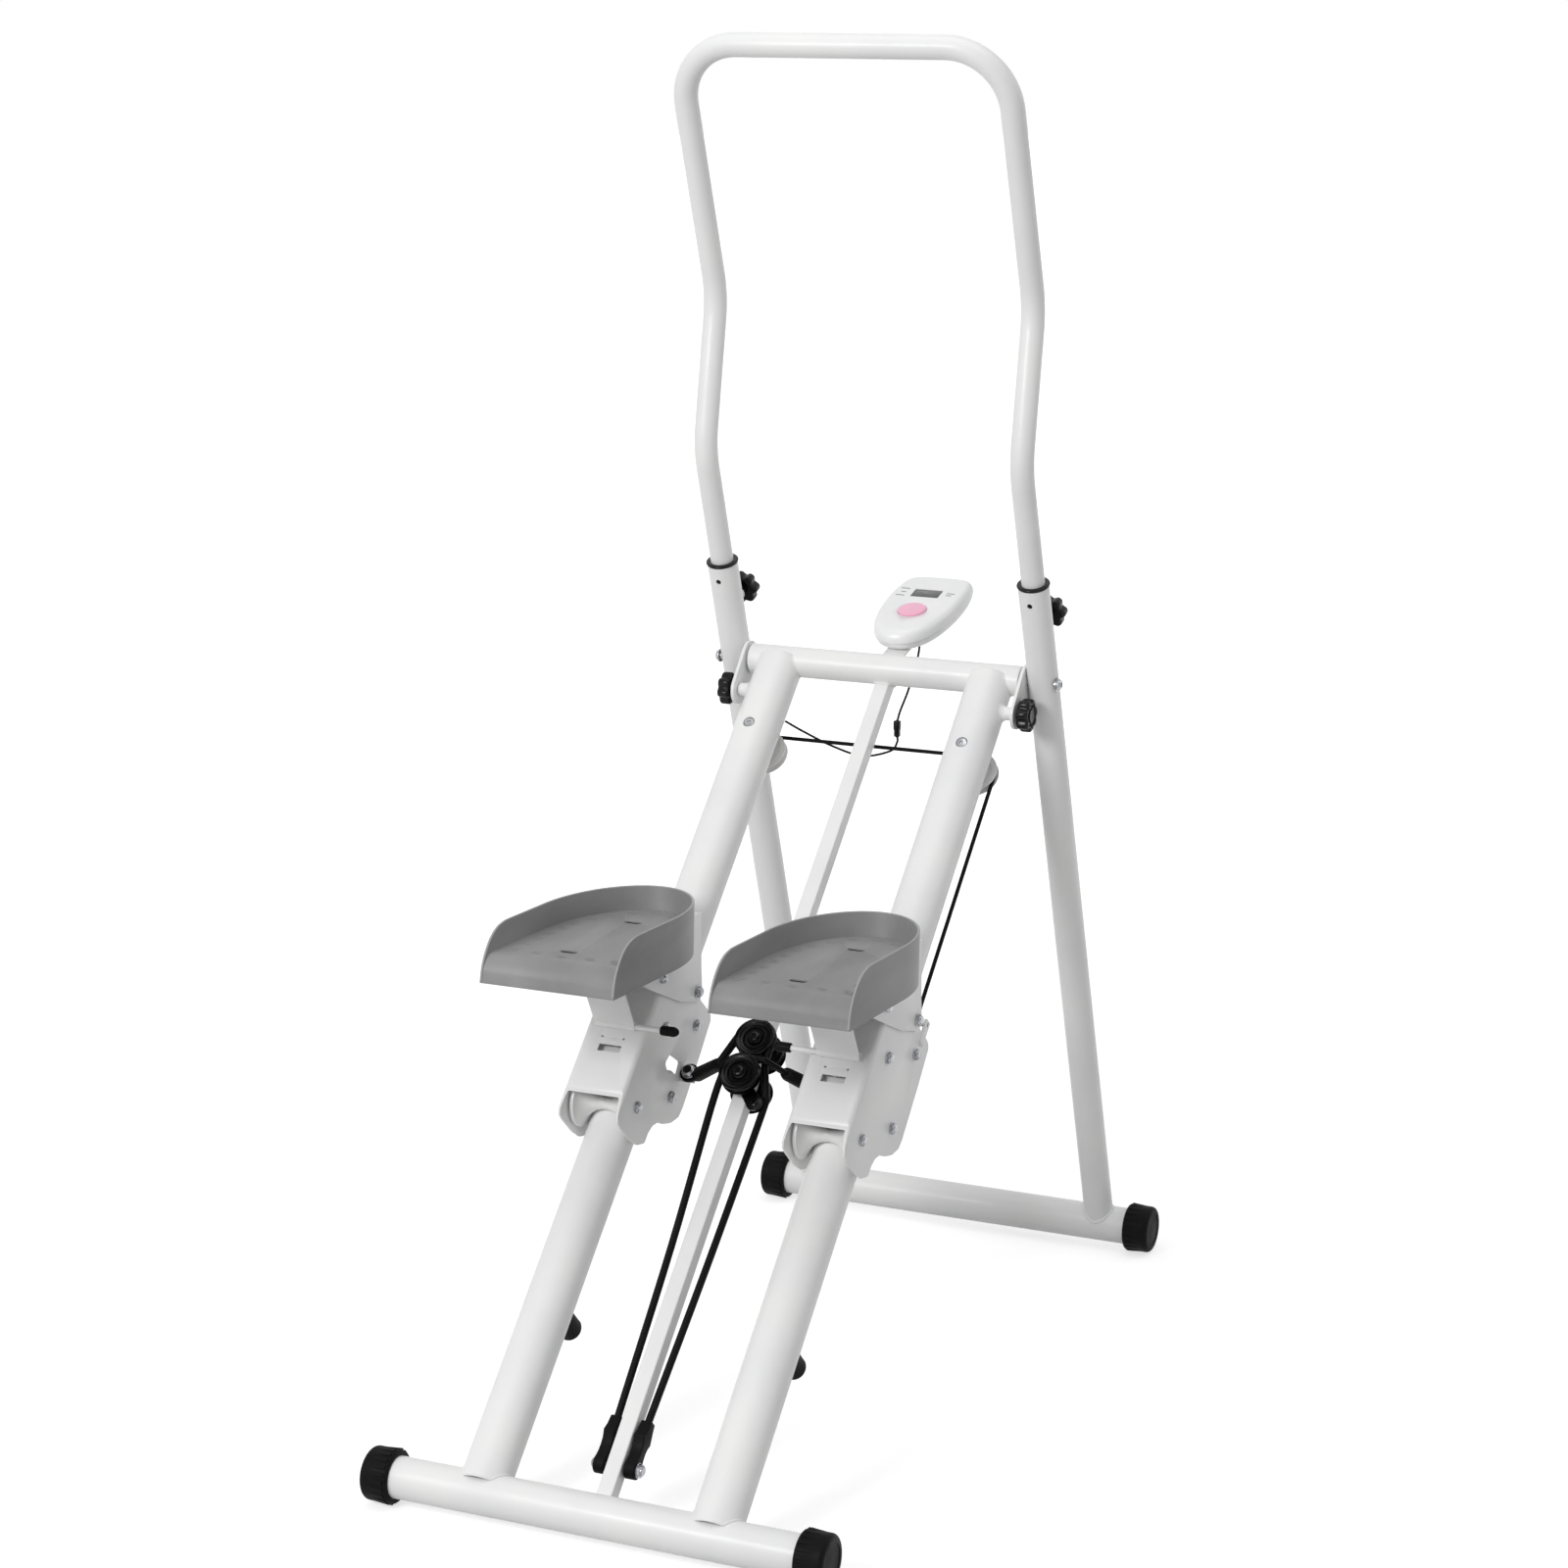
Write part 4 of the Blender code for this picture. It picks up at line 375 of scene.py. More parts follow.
# Bright zinc plate on bolts and nuts, with turning marks about 0.4 mm apart and faint clouding.
ZINC = mottled(
    "zinc_plated_steel", (130, 3), ("b8b9bc", "96979b"), (2200, 2), (0.00004, 0.4), ("broad", 0.16, 0.32),
    {"Metallic": 1},
)
# Turned white nylon of the rollers and guide pulleys: milky and smooth, with fine lathe rings.
NYLON = mottled(
    "turned_white_nylon", (25, 2), ("eeeeec", "e6e6e5"), (60, 2, (30, 1, 1)), (0.00006, 0.5),
    ("fine", 0.28, 0.4), {"IOR": 1.53, "Subsurface Weight": 0.08, "Subsurface Scale": 0.004},
)
# White ABS of the console's shells: a satin grain of about 0.8 mm.
WHITE_PLASTIC = mottled(
    "white_abs", (18, 3), ("f4f4f4", "eff0f0"), (1300, 2), (0.00005, 0.4), ("fine", 0.28, 0.38), {"IOR": 1.54}
)
# Pink ABS of the button: smooth, with a soft gloss.
PINK_PLASTIC = mottled(
    "pink_abs", (60, 3), ("f9b9d2", "f6b2cc"), (900, 2), (0.00005, 0.4), 0.33, {"IOR": 1.54},
)
# Clear acrylic over an unlit liquid-crystal display, which shows as a mottled dark grey-green.
DISPLAY = mottled(
    "display_window", (220, 3), ("303332", "262828"), (220, 3), (0.00003, 0.3), 0.22,
    {"Coat Weight": 0.6, "Coat Roughness": 0.05},
)
# Pad-printed grey ink on the console, flat.
INK = mottled("printed_grey_ink", (700, 2), ("707074", "626266"), (700, 2), None, 0.5, {})


def camera_and_light():
    """The photograph's viewpoint, with broad lamps over the left shoulder and above."""
    camera = bpy.data.cameras.new("camera")
    camera.lens = 80.865
    camera.sensor_width = 36
    view = linked("camera", camera)
    view.location = (1.69619, -3.85812, 1.76815)
    view.rotation_euler = (math.radians(76.6), 0, math.radians(23.94))
    bpy.context.scene.camera = view
    bpy.context.scene.view_settings.view_transform = "Standard"
    lamps = [
        ("key", (-1.3, -4.1, 2.9), (0, 0, 0.75), 1.6, 103),
        ("top", (0.3, -0.2, 4.4), (0, 0, 0.6), 3, 31),
        ("rim", (2.8, 2.4, 2.6), (0, 0.1, 0.8), 1.8, 12),
    ]
    for name, place, target, size, power in lamps:
        lamp = bpy.data.lights.new(name, "AREA")
        lamp.shape = "DISK"
        lamp.size = size
        lamp.energy = power
        obj = linked(name, lamp)
        obj.location = place
        aim = Vector(target) - Vector(place)
        obj.rotation_euler = aim.to_track_quat("-Z", "Y").to_euler()


def rays_that_see_white(tree):
    """1 for what the camera sees, straight, in gloss or through glass, and 0 for light on the climber."""
    ray = add(tree, "ShaderNodeLightPath")
    seen = ray.outputs["Is Camera Ray"]
    for name in ("Is Glossy Ray", "Is Transmission Ray"):
        seen = calculated(tree, "MAXIMUM", seen, ray.outputs[name])
    return seen


def white_surroundings():
    """A soft grey sky for light, seen as white by the camera and in gloss."""
    world = bpy.data.worlds.new("studio")
    bpy.context.scene.world = world
    world.use_nodes = True
    tree = world.node_tree
    tree.nodes.clear()
    seen = rays_that_see_white(tree)
    light = add(tree, "ShaderNodeBackground", {"Color": linear("ffffff"), "Strength": 0.43})
    shown = add(tree, "ShaderNodeBackground", {"Color": linear("ffffff"), "Strength": 1})
    mixed = add(tree, "ShaderNodeMixShader", {0: seen, 1: light.outputs[0], 2: shown.outputs[0]})
    add(tree, "ShaderNodeOutputWorld", {"Surface": mixed.outputs[0]})


def studio_floor():
    """A wide pale floor. What the camera sees of it is lifted to white, with the soft shadow left in."""
    material, tree, shader = new_material("painted_studio_floor")
    shader.inputs["Base Color"].default_value = linear("c4c4c4")
    shader.inputs["Roughness"].default_value = 0.9
    place = add(tree, "ShaderNodeTexCoord").outputs["Object"]
    reach = add(tree, "ShaderNodeVectorMath", {0: place}, operation="LENGTH").outputs["Value"]
    fade = {"Value": reach, "From Min": 1, "From Max": 4, "To Min": 0.66, "To Max": 1}
    faded = add(tree, "ShaderNodeMapRange", fade, interpolation_type="SMOOTHSTEP").outputs["Result"]
    lift = calculated(tree, "MULTIPLY", rays_that_see_white(tree), faded)
    tree.links.new(lift, shader.inputs["Emission Strength"])
    shader.inputs["Emission Color"].default_value = linear("ffffff")
    bm = bmesh.new()
    bmesh.ops.create_circle(bm, cap_ends=True, radius=30, segments=64)
    mesh = bpy.data.meshes.new("floor")
    bm.to_mesh(mesh)
    bm.free()
    mesh.materials.append(material)
    obj = linked("floor", mesh)
    obj.location = (0, 0, -0.0005)


camera_and_light()
white_surroundings()
studio_floor()


def turns(count):
    return [math.tau * i / count for i in range(count)]


def circle(radius, count):
    """Points round a circle in a plane."""
    return [(radius * math.cos(angle), radius * math.sin(angle)) for angle in turns(count)]


def add_rings(rings, closed_loop=False):
    """A skin through rings of points, with its two ends filled, or joined when it is a closed loop."""
    bm = bmesh.new()
    loops = [[bm.verts.new(point) for point in ring] for ring in rings]
    pairs = list(zip(loops, loops[1:]))
    if closed_loop:
        pairs.append((loops[-1], loops[0]))
    for first, second in pairs:
        count = max(len(first), len(second))
        for i in range(count):
            j = (i + 1) % count
            corners = [first[i % len(first)], first[j % len(first)]]
            corners += [second[j % len(second)], second[i % len(second)]]
            bm.faces.new(list(dict.fromkeys(corners)))
    if not closed_loop:
        for loop in (loops[0], loops[-1]):
            if len(loop) > 2:
                bm.faces.new(loop)
    bmesh.ops.recalc_face_normals(bm, faces=bm.faces)
    return bm


def on_axis(origin, axis):
    """A function that takes a flat ring to a distance along an axis."""
    turn = Vector(UP).rotation_difference(Vector(axis)).to_matrix()
    return lambda ring, along: [Vector(origin) + turn @ Vector((a, b, along)) for a, b in ring]


def turned(profile, origin=ORIGIN, axis=UP, sides=64):
    """A body of revolution. The profile lists (distance along the axis, radius); zero radii make a pole."""
    place = on_axis(origin, axis)
    rings = [place(circle(radius, sides) if radius else [(0, 0)], along) for along, radius in profile]
    return add_rings(rings, closed_loop=profile[0][1] > 0)


def rod(start, end, radius, sides=48):
    span = Vector(end) - Vector(start)
    profile = [(0, 0), (0, radius), (span.length, radius), (span.length, 0)]
    return turned(profile, start, span.normalized(), sides)


def rod_x(low, high, y, z, radius, sides=48):
    return rod((low, y, z), (high, y, z), radius, sides)


def rod_z(x, y, low, high, radius, sides=48):
    return rod((x, y, low), (x, y, high), radius, sides)


def tube(start, end, radius, wall, sides=96):
    span = Vector(end) - Vector(start)
    bore = radius - wall
    profile = [(0, bore), (0, radius), (span.length, radius), (span.length, bore)]
    return turned(profile, start, span.normalized(), sides)


def extruded(outline, low, high, across="X"):
    """A prism. Across X the outline lists (y, z), across Y (x, z) and across Z (x, y)."""
    place = {
        "X": lambda a, b, c: Vector((c, a, b)),
        "Y": lambda a, b, c: Vector((a, c, b)),
        "Z": lambda a, b, c: Vector((a, b, c)),
    }[across]
    return add_rings([[place(a, b, level) for a, b in outline] for level in (low, high)])


def rectangle(low, high):
    return [(low[0], low[1]), (high[0], low[1]), (high[0], high[1]), (low[0], high[1])]


def box(low, high):
    return extruded(rectangle(low, high), low[2], high[2], "Z")


def span_from(x, side, near, far):
    """Two distances to one side of x, in rising order."""
    return sorted((x + side * near, x + side * far))


def arc(center, radius, start, end, steps):
    """Points on an arc in a plane, with its angles in degrees."""
    points = []
    for i in range(steps + 1):
        angle = math.radians(start + (end - start) * i / steps)
        points.append((center[0] + radius * math.cos(angle), center[1] + radius * math.sin(angle)))
    return points


def rounding(along, reach, radius, start, end, steps, rise=None):
    """The part of a turned profile that rounds an edge about (along, reach). Its angles are in degrees."""
    rise = radius if rise is None else rise
    return [(along + rise * up, reach + radius * across) for across, up in arc((0, 0), 1, start, end, steps)]


def rounded_path(corners, radii, steps):
    """A path through the corners, each inner corner rounded to its radius."""
    points = [Vector(corners[0])]
    for i, radius in enumerate(radii, 1):
        here = Vector(corners[i])
        back = (Vector(corners[i - 1]) - here).normalized()
        ahead = (Vector(corners[i + 1]) - here).normalized()
        half = back.angle(ahead) / 2
        center = here + (back + ahead).normalized() * radius / math.sin(half)
        first = here + back * radius / math.tan(half) - center
        last = here + ahead * radius / math.tan(half) - center
        for k in range(steps + 1):
            points.append(center + radius * first.slerp(last, k / steps).normalized())
    points.append(Vector(corners[-1]))
    return points


def rounded_outline(corners, radius, steps=6):
    """A closed outline in a plane with its corners rounded, each by at most the radius."""
    points = []
    for i, corner in enumerate(corners):
        here = Vector(corner)
        back = Vector(corners[i - 1]) - here
        ahead = Vector(corners[(i + 1) % len(corners)]) - here
        half = back.angle(ahead) / 2
        reach = min(radius / math.tan(half), 0.45 * back.length, 0.45 * ahead.length)
        first = here + back.normalized() * reach
        last = here + ahead.normalized() * reach
        for k in range(steps + 1):
            t = k / steps
            points.append((1 - t) ** 2 * first + 2 * t * (1 - t) * here + t**2 * last)
    return [(point.x, point.y) for point in points]


def smooth_stretch(a, b, c, d, steps):
    """Points from b up to c on the smooth curve through four points."""
    points = []
    for k in range(steps):
        t = k / steps
        even = 2 * b + (c - a) * t + (2 * a - 5 * b + 4 * c - d) * t**2
        points.append((even + (3 * b - a - 3 * c + d) * t**3) / 2)
    return points


def smooth_path(route, steps):
    """Points on a smooth curve that passes through the route's own points."""
    route = [Vector(point) for point in route]
    padded = [2 * route[0] - route[1], *route, 2 * route[-1] - route[-2]]
    points = []
    for four in zip(padded, padded[1:], padded[2:], padded[3:]):
        points += smooth_stretch(*four, steps)
    return [*points, route[-1]]


def straight(start, end, steps):
    return [start.lerp(end, i / steps) for i in range(steps + 1)]


def swept(path, radius, bore=0, sides=32, closed=False):
    """A round bar or tube along a path."""
    tangents = []
    for i in range(len(path)):
        before = path[i - 1] if closed else path[max(i - 1, 0)]
        after = path[(i + 1) % len(path)] if closed else path[min(i + 1, len(path) - 1)]
        tangents.append((after - before).normalized())
    side = tangents[0].orthogonal().normalized()
    outer, inner = [], []
    for i, tangent in enumerate(tangents):
        if i:
            side = tangents[i - 1].rotation_difference(tangent) @ side
        other = tangent.cross(side)
        for rings, size in ((outer, radius), (inner, bore)):
            rings.append([path[i] + size * (a * side + b * other) for a, b in circle(1, sides)])
    if bore:
        return add_rings(outer + inner[::-1], closed_loop=True)
    return add_rings(outer, closed_loop=closed)


def cord_mesh(path, radius, sides=16):
    """A cord along a path, with a UV map for its braid or its stretch marks."""
    return with_cord_map(swept(path, radius, sides=sides), path, sides)


def slanted_cord(path, facing, radius, sides):
    """A cord whose rings all face one way, so that it keeps its thickness when one end is drawn far off."""
    first = facing.normalized().orthogonal().normalized()
    second = facing.normalized().cross(first)
    rings = [[point + radius * (a * first + b * second) for a, b in circle(1, sides)] for point in path]
    return with_cord_map(add_rings(rings), path, sides)


def with_cord_map(bm, path, sides):
    """The UV map of a cord: round its section in turns, and along its path in metres."""
    bm.verts.ensure_lookup_table()
    runs = [0]
    for before, after in zip(path, path[1:]):
        runs.append(runs[-1] + (after - before).length)
    layer = bm.loops.layers.uv.new("UVMap")
    for face in bm.faces:
        spokes = [loop.vert.index % sides for loop in face.loops]
        wraps = max(spokes) - min(spokes) > sides / 2
        for loop, spoke in zip(face.loops, spokes):
            around = spoke + sides if wraps and spoke == 0 else spoke
            loop[layer].uv = (around / sides, runs[loop.vert.index // sides])
    return bm


def hull(parts):
    """The convex solid round several shapes."""
    bm = bmesh.new()
    for part in parts:
        for vert in part.verts:
            bm.verts.new(vert.co)
        part.free()
    result = bmesh.ops.convex_hull(bm, input=bm.verts)
    loose = {item for item in result["geom_interior"] if isinstance(item, bmesh.types.BMVert)}
    bmesh.ops.delete(bm, geom=list(loose), context="VERTS")
    bmesh.ops.recalc_face_normals(bm, faces=bm.faces)
    return bm


def merged(shapes):
    """Several shapes as one bmesh."""
    bm = bmesh.new()
    for shape in shapes:
        part = bpy.data.meshes.new("part")
        shape.to_mesh(part)
        shape.free()
        bm.from_mesh(part)
        bpy.data.meshes.remove(part)
    return bm


def placed(bm, place):
    bmesh.ops.transform(bm, matrix=place, verts=bm.verts)
    return bm


def helper_object(name, bm):
    mesh = bpy.data.meshes.new(name)
    bm.to_mesh(mesh)
    bm.free()
    return linked(name, mesh)


def applied(obj, helpers=()):
    """An object's mesh with its modifiers applied, as a bmesh. The object and its helpers go."""
    graph = bpy.context.evaluated_depsgraph_get()
    mesh = bpy.data.meshes.new_from_object(obj.evaluated_get(graph))
    result = bmesh.new()
    result.from_mesh(mesh)
    bpy.data.meshes.remove(mesh)
    for used in [obj, *helpers]:
        old = used.data
        bpy.data.objects.remove(used)
        bpy.data.meshes.remove(old)
    return result


def shaped(bm, cuts=(), within=(), edge=0, steps=2):
    """A solid kept within some shapes, cut by others, and with its sharp edges rounded, as a bmesh."""
    piece = helper_object("shaped", bm)
    helpers = []
    for operation, shapes in (("INTERSECT", within), ("DIFFERENCE", cuts)):
        for shape in shapes:
            helpers.append(helper_object("helper", shape))
            modifier = piece.modifiers.new(operation, "BOOLEAN")
            modifier.operation = operation
            modifier.solver = "EXACT"
            modifier.object = helpers[-1]
    if edge:
        weld = piece.modifiers.new("weld", "WELD")
        weld.merge_threshold = WELD_REACH
        flat = piece.modifiers.new("flat", "DECIMATE")
        flat.decimate_type = "DISSOLVE"
        flat.angle_limit = FLAT_ANGLE
        bevel = piece.modifiers.new("edge", "BEVEL")
        bevel.width = edge
        bevel.segments = steps
        bevel.limit_method = "ANGLE"
        bevel.angle_limit = SHARP_ANGLE
        bevel.harden_normals = False
    return applied(piece, helpers)


def new_tree(name, **inputs):
    """A geometry tree with named inputs, and the sockets that give them."""
    tree = bpy.data.node_groups.new(name, "GeometryNodeTree")
    for label, kind in inputs.items():
        tree.interface.new_socket(label, in_out="INPUT", socket_type=f"NodeSocket{kind}")
    tree.interface.new_socket("Material", in_out="INPUT", socket_type="NodeSocketMaterial")
    tree.interface.new_socket("Result", in_out="OUTPUT", socket_type="NodeSocketGeometry")
    return tree, add(tree, "NodeGroupInput").outputs


def ends_in_copies(tree, given, **inputs):
    """Ends a tree with copies on points, made real and given the material."""
    seated = add(tree, "GeometryNodeInstanceOnPoints", inputs)
    real = add(tree, "GeometryNodeRealizeInstances", {"Geometry": seated.outputs["Instances"]})
    coat = {"Geometry": real.outputs["Geometry"], "Material": given["Material"]}
    add(tree, "NodeGroupOutput", {"Result": add(tree, "GeometryNodeSetMaterial", coat).outputs["Geometry"]})
    return tree


def rib_tree():
    """Ribs spaced evenly round the X axis. The rib is the object's own mesh."""
    tree, given = new_tree("ribs_round_axis", Rib="Geometry", Count="Int")
    points = add(tree, "GeometryNodeMeshLine", {"Count": given["Count"], "Offset": ORIGIN}).outputs["Mesh"]
    turn = calculated(tree, "MULTIPLY", add(tree, "GeometryNodeInputIndex").outputs[0], math.tau)
    share = calculated(tree, "DIVIDE", turn, given["Count"])
    angles = add(tree, "ShaderNodeCombineXYZ", {"X": share}).outputs[0]
    return ends_in_copies(tree, given, Points=points, Instance=given["Rib"], Rotation=angles)


def fastener_tree():
    """A fastener set on each point of another object, facing along that point's own direction."""
    tree, given = new_tree("fasteners_on_points", Fastener="Geometry", Places="Object")
    places = add(tree, "GeometryNodeObjectInfo", {"Object": given["Places"]}).outputs["Geometry"]
    facing = add(tree, "GeometryNodeInputNamedAttribute", {"Name": "facing"}, data_type="FLOAT_VECTOR")
    aim = add(tree, "FunctionNodeAlignRotationToVector", {"Vector": facing.outputs["Attribute"]}, axis="Z")
    rotation = aim.outputs["Rotation"]
    return ends_in_copies(tree, given, Points=places, Instance=given["Fastener"], Rotation=rotation)


def ring_tree():
    """Raised rings at even steps along a line."""
    tree, given = new_tree("rings_along_line", Line="Geometry", Count="Int", Radius="Float", Ridge="Float")
    line = add(tree, "GeometryNodeMeshToCurve", {"Mesh": given["Line"]}).outputs["Curve"]
    steps = add(tree, "GeometryNodeResampleCurve", {"Curve": line, "Count": given["Count"]}).outputs["Curve"]
    circles = []
    for resolution, radius in ((32, "Radius"), (8, "Ridge")):
        settings = {"Resolution": resolution, "Radius": given[radius]}
        circles.append(add(tree, "GeometryNodeCurvePrimitiveCircle", settings).outputs["Curve"])
    ring = add(tree, "GeometryNodeCurveToMesh", {"Curve": circles[0], "Profile Curve": circles[1]})
    return ends_in_copies(tree, given, Points=steps, Instance=ring.outputs["Mesh"])


RIBS = rib_tree()
FASTENERS = fastener_tree()
RINGS = ring_tree()


def through_nodes(bm, tree, values):
    """The bmesh that a geometry tree makes of a shape, with the tree's named inputs set."""
    obj = helper_object("through_nodes", bm)
    modifier = obj.modifiers.new("nodes", "NODES")
    modifier.node_group = tree
    sockets = {item.name: item.identifier for item in tree.interface.items_tree if item.in_out == "INPUT"}
    for name, value in values.items():
        modifier[sockets[name]] = value
    return applied(obj)


def make_piece(name, bm, place, material, body, node=None, angle=32):
    """A finished piece: its mesh in place, smooth but for its sharp edges, riding on its body."""
    placed(bm, place)
    own_name = f"{name}_detail" if node else name
    mesh = bpy.data.meshes.new(own_name)
    bm.to_mesh(mesh)
    bm.free()
    mesh.materials.clear()
    mesh.materials.append(material)
    mesh.shade_smooth()
    mesh.set_sharp_from_angle(angle=math.radians(angle))
    obj = linked(own_name, mesh)
    if body:
        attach(obj, body)
    if node:
        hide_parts(node)
    return obj


def dressed(name, bm, place, material, body, angle=32):
    """A piece that stands in for the solid of the same name."""
    return make_piece(name, bm, place, material, body, name, angle)


def weld_bead(points, size):
    """A smooth fillet weld along a seam, as a closed ring."""
    return swept([Vector(point) for point in points], size, sides=12, closed=True)


def base_tube(name, y, body):
    """A base tube with its wall showing at both ends inside the caps."""
    ends = [(end, y, BASE_HEIGHT) for end in (-BASE_HALF_WIDTH, BASE_HALF_WIDTH)]
    dressed(name, tube(*ends, BASE_RADIUS, TUBE_WALL), WORLD, WHITE_STEEL, body)


def end_cap(name, y, side, body):
    """A ribbed rubber cup over a tube end: a plain collar, gripping ribs and a domed face with a ring."""
    end = BASE_HALF_WIDTH + 0.0053
    rim = end - CAP_LENGTH
    root = CAP_RADIUS - 0.0016
    bore = BASE_RADIUS + GAP
    step = root - 0.0022
    profile = [(end - 0.005, 0), (end - 0.005, bore), (rim, bore), (rim, step)]
    profile += [(rim + a, step + b) for a, b in ((0.0004, 0.0012), (0.0012, 0.0019), (0.0024, 0.0022))]
    profile += [(end - 0.0062, root)]
    profile += [(end - 0.0062 + a, root - 0.006 + b) for a, b in arc((0, 0), 0.006, 80, 12, 7)]
    profile += [(end - 0.0002, root - 0.0075), (end - 0.0002, 0.0225), (end - 0.0012, 0.0215)]
    profile += [(end - 0.0014, 0.006), (end - 0.0012, 0)]
    cup = turned(profile, axis=(side, 0, 0), sides=96)
    rib = [(-0.003, root - 0.001), (0.003, root - 0.001), (0.0022, CAP_RADIUS), (-0.0022, CAP_RADIUS)]
    low_edge = side * (end - 0.004)
    rib = extruded(rounded_outline(rib, 0.0009, 3), side * (rim + 0.0035), low_edge)
    foot = root - 0.002
    for vert in rib.verts:
        if abs(vert.co.x - low_edge) < 0.0001:
            vert.co.z = foot + (vert.co.z - foot) * RIB_FADE
    ribs = through_nodes(rib, RIBS, {"Count": CAP_RIBS, "Material": RUBBER})
    cap = placed(merged([cup, ribs]), Matrix.Translation((0, y, BASE_HEIGHT)))
    floor_cut = box((-1, y - 0.1, -0.1), (1, y + 0.1, 0))
    dressed(name, shaped(cap, [floor_cut]), WORLD, RUBBER, body)


def cope(x, half, along, radius):
    """The cutter that fits a tube's end on a tube that runs across it."""
    return rod_x(x - half, x + half, along, 0, radius + 0.0001, 96)


def rail(side_name, side):
    """A rail coped over the base tube and under the cross tube, with weld beads, lock boss and bolt hole."""
    x = side * RAIL_X
    body = tube((x, RAIL_START, 0), (x, RAIL_LENGTH - 0.004, 0), RAIL_RADIUS, TUBE_WALL, 128)
    past = 2 * RAIL_RADIUS
    head_hole = rod_z(x, GUIDE_ALONG, 0, 0.1, 0.0076, 32)
    shank_hole = rod_z(x, GUIDE_ALONG, 0, -0.1, BOLT_BORE, 32)
    cuts = [cope(x, past, 0, BASE_RADIUS), cope(x, past, RAIL_LENGTH, CROSS_RADIUS), head_hole, shank_hole]
    shapes = [shaped(body, cuts, edge=0.0003, steps=1)]
    for joint, toward, radius, least, size in (
        (0, 1, BASE_RADIUS, 0.0101, 0.0015),
        (RAIL_LENGTH, -1, CROSS_RADIUS, 0.0041, 0.001),
    ):
        seam = []
        for across, normal in circle(RAIL_RADIUS - 0.0004, 160):
            along = math.sqrt(max((radius + 0.0006) ** 2 - normal**2, least**2))
            seam.append((x + across, joint + toward * along, normal))
        shapes.append(weld_bead(seam, size))
    boss_low = x + side * (RAIL_RADIUS - 0.0032)
    reach = abs(side * LOCK_BOSS_END - boss_low)
    profile = [(0, 0.0142), (0.0018, 0.0122), (0.0034, 0.0107), (0.0052, 0.0096), (0.0074, 0.0089)]
    profile += [(reach - 0.0008, 0.0084), (reach, 0.0076), (reach, BOLT_BORE), (0, BOLT_BORE)]
    shapes.append(turned(profile, (boss_low, LOCK_ALONG, 0), (side, 0, 0), 48))
    dressed(f"rail_{side_name}", merged(shapes), RAIL, WHITE_STEEL, "front_frame")


def cross_tube():
    """The top cross tube, with plugged ends turned down to a small chamfer."""
    end = CROSS_HALF_WIDTH
    bore = PIVOT_RADIUS + GAP
    profile = [(-end, bore), (-end, CROSS_RADIUS - 0.0008), (-end + 0.0008, CROSS_RADIUS)]
    profile += [(end - 0.0008, CROSS_RADIUS), (end, CROSS_RADIUS - 0.0008), (end, bore)]
    body = turned(profile, (0, HINGE_Y, HINGE_Z), ACROSS, 96)
    dressed("cross_tube", body, WORLD, WHITE_STEEL, "front_frame")


def centre_bar():
    """The square bar between the rails, with its rounded corners, coped ends and weld beads."""
    corners = rectangle((-BAR_HALF, BAR_NORMAL - BAR_HALF), (BAR_HALF, BAR_NORMAL + BAR_HALF))
    bar = extruded(rounded_outline(corners, BAR_CORNER, 5), 0.012, RAIL_LENGTH - 0.012, "Y")
    shapes = [shaped(bar, [cope(0, 0.1, 0, BASE_RADIUS), cope(0, 0.1, RAIL_LENGTH, CROSS_RADIUS)])]
    for joint, toward, radius in ((0, 1, BASE_RADIUS), (RAIL_LENGTH, -1, CROSS_RADIUS)):
        seam = []
        for a, b in rounded_outline(corners, BAR_CORNER, 8):
            seam.append((a, joint + toward * math.sqrt(max(radius**2 - b**2, 0.0001)), b))
        shapes.append(weld_bead(seam, 0.0021))
    dressed("centre_bar", merged(shapes), RAIL, WHITE_STEEL, "front_frame")


def stop_buffer(side_name, side):
    """A rubber buffer under the rail: a straight stem and a domed end with a moulding line."""
    x = side * RAIL_X
    end = BUFFER_END - 0.01
    profile = [(0.02, 0), (0.02, BUFFER_RADIUS - 0.0012), (0.0345, BUFFER_RADIUS)]
    profile += [(end - 0.0006, BUFFER_RADIUS), (end, BUFFER_RADIUS + 0.0002)]
    profile += [(end + 0.0006, BUFFER_RADIUS - 0.0001)]
    profile += rounding(end, 0, BUFFER_RADIUS - 0.0002, 8, 84, 12, 0.01) + [(end + 0.01, 0)]
    body = turned(profile, (x, BUFFER_ALONG, 0), (0, 0, -1), 64)
    seat = rod((x, BUFFER_ALONG - 0.1, 0), (x, BUFFER_ALONG + 0.1, 0), RAIL_RADIUS, 96)
    dressed(f"bumper_{side_name}", shaped(body, [seat]), RAIL, RUBBER, "front_frame")


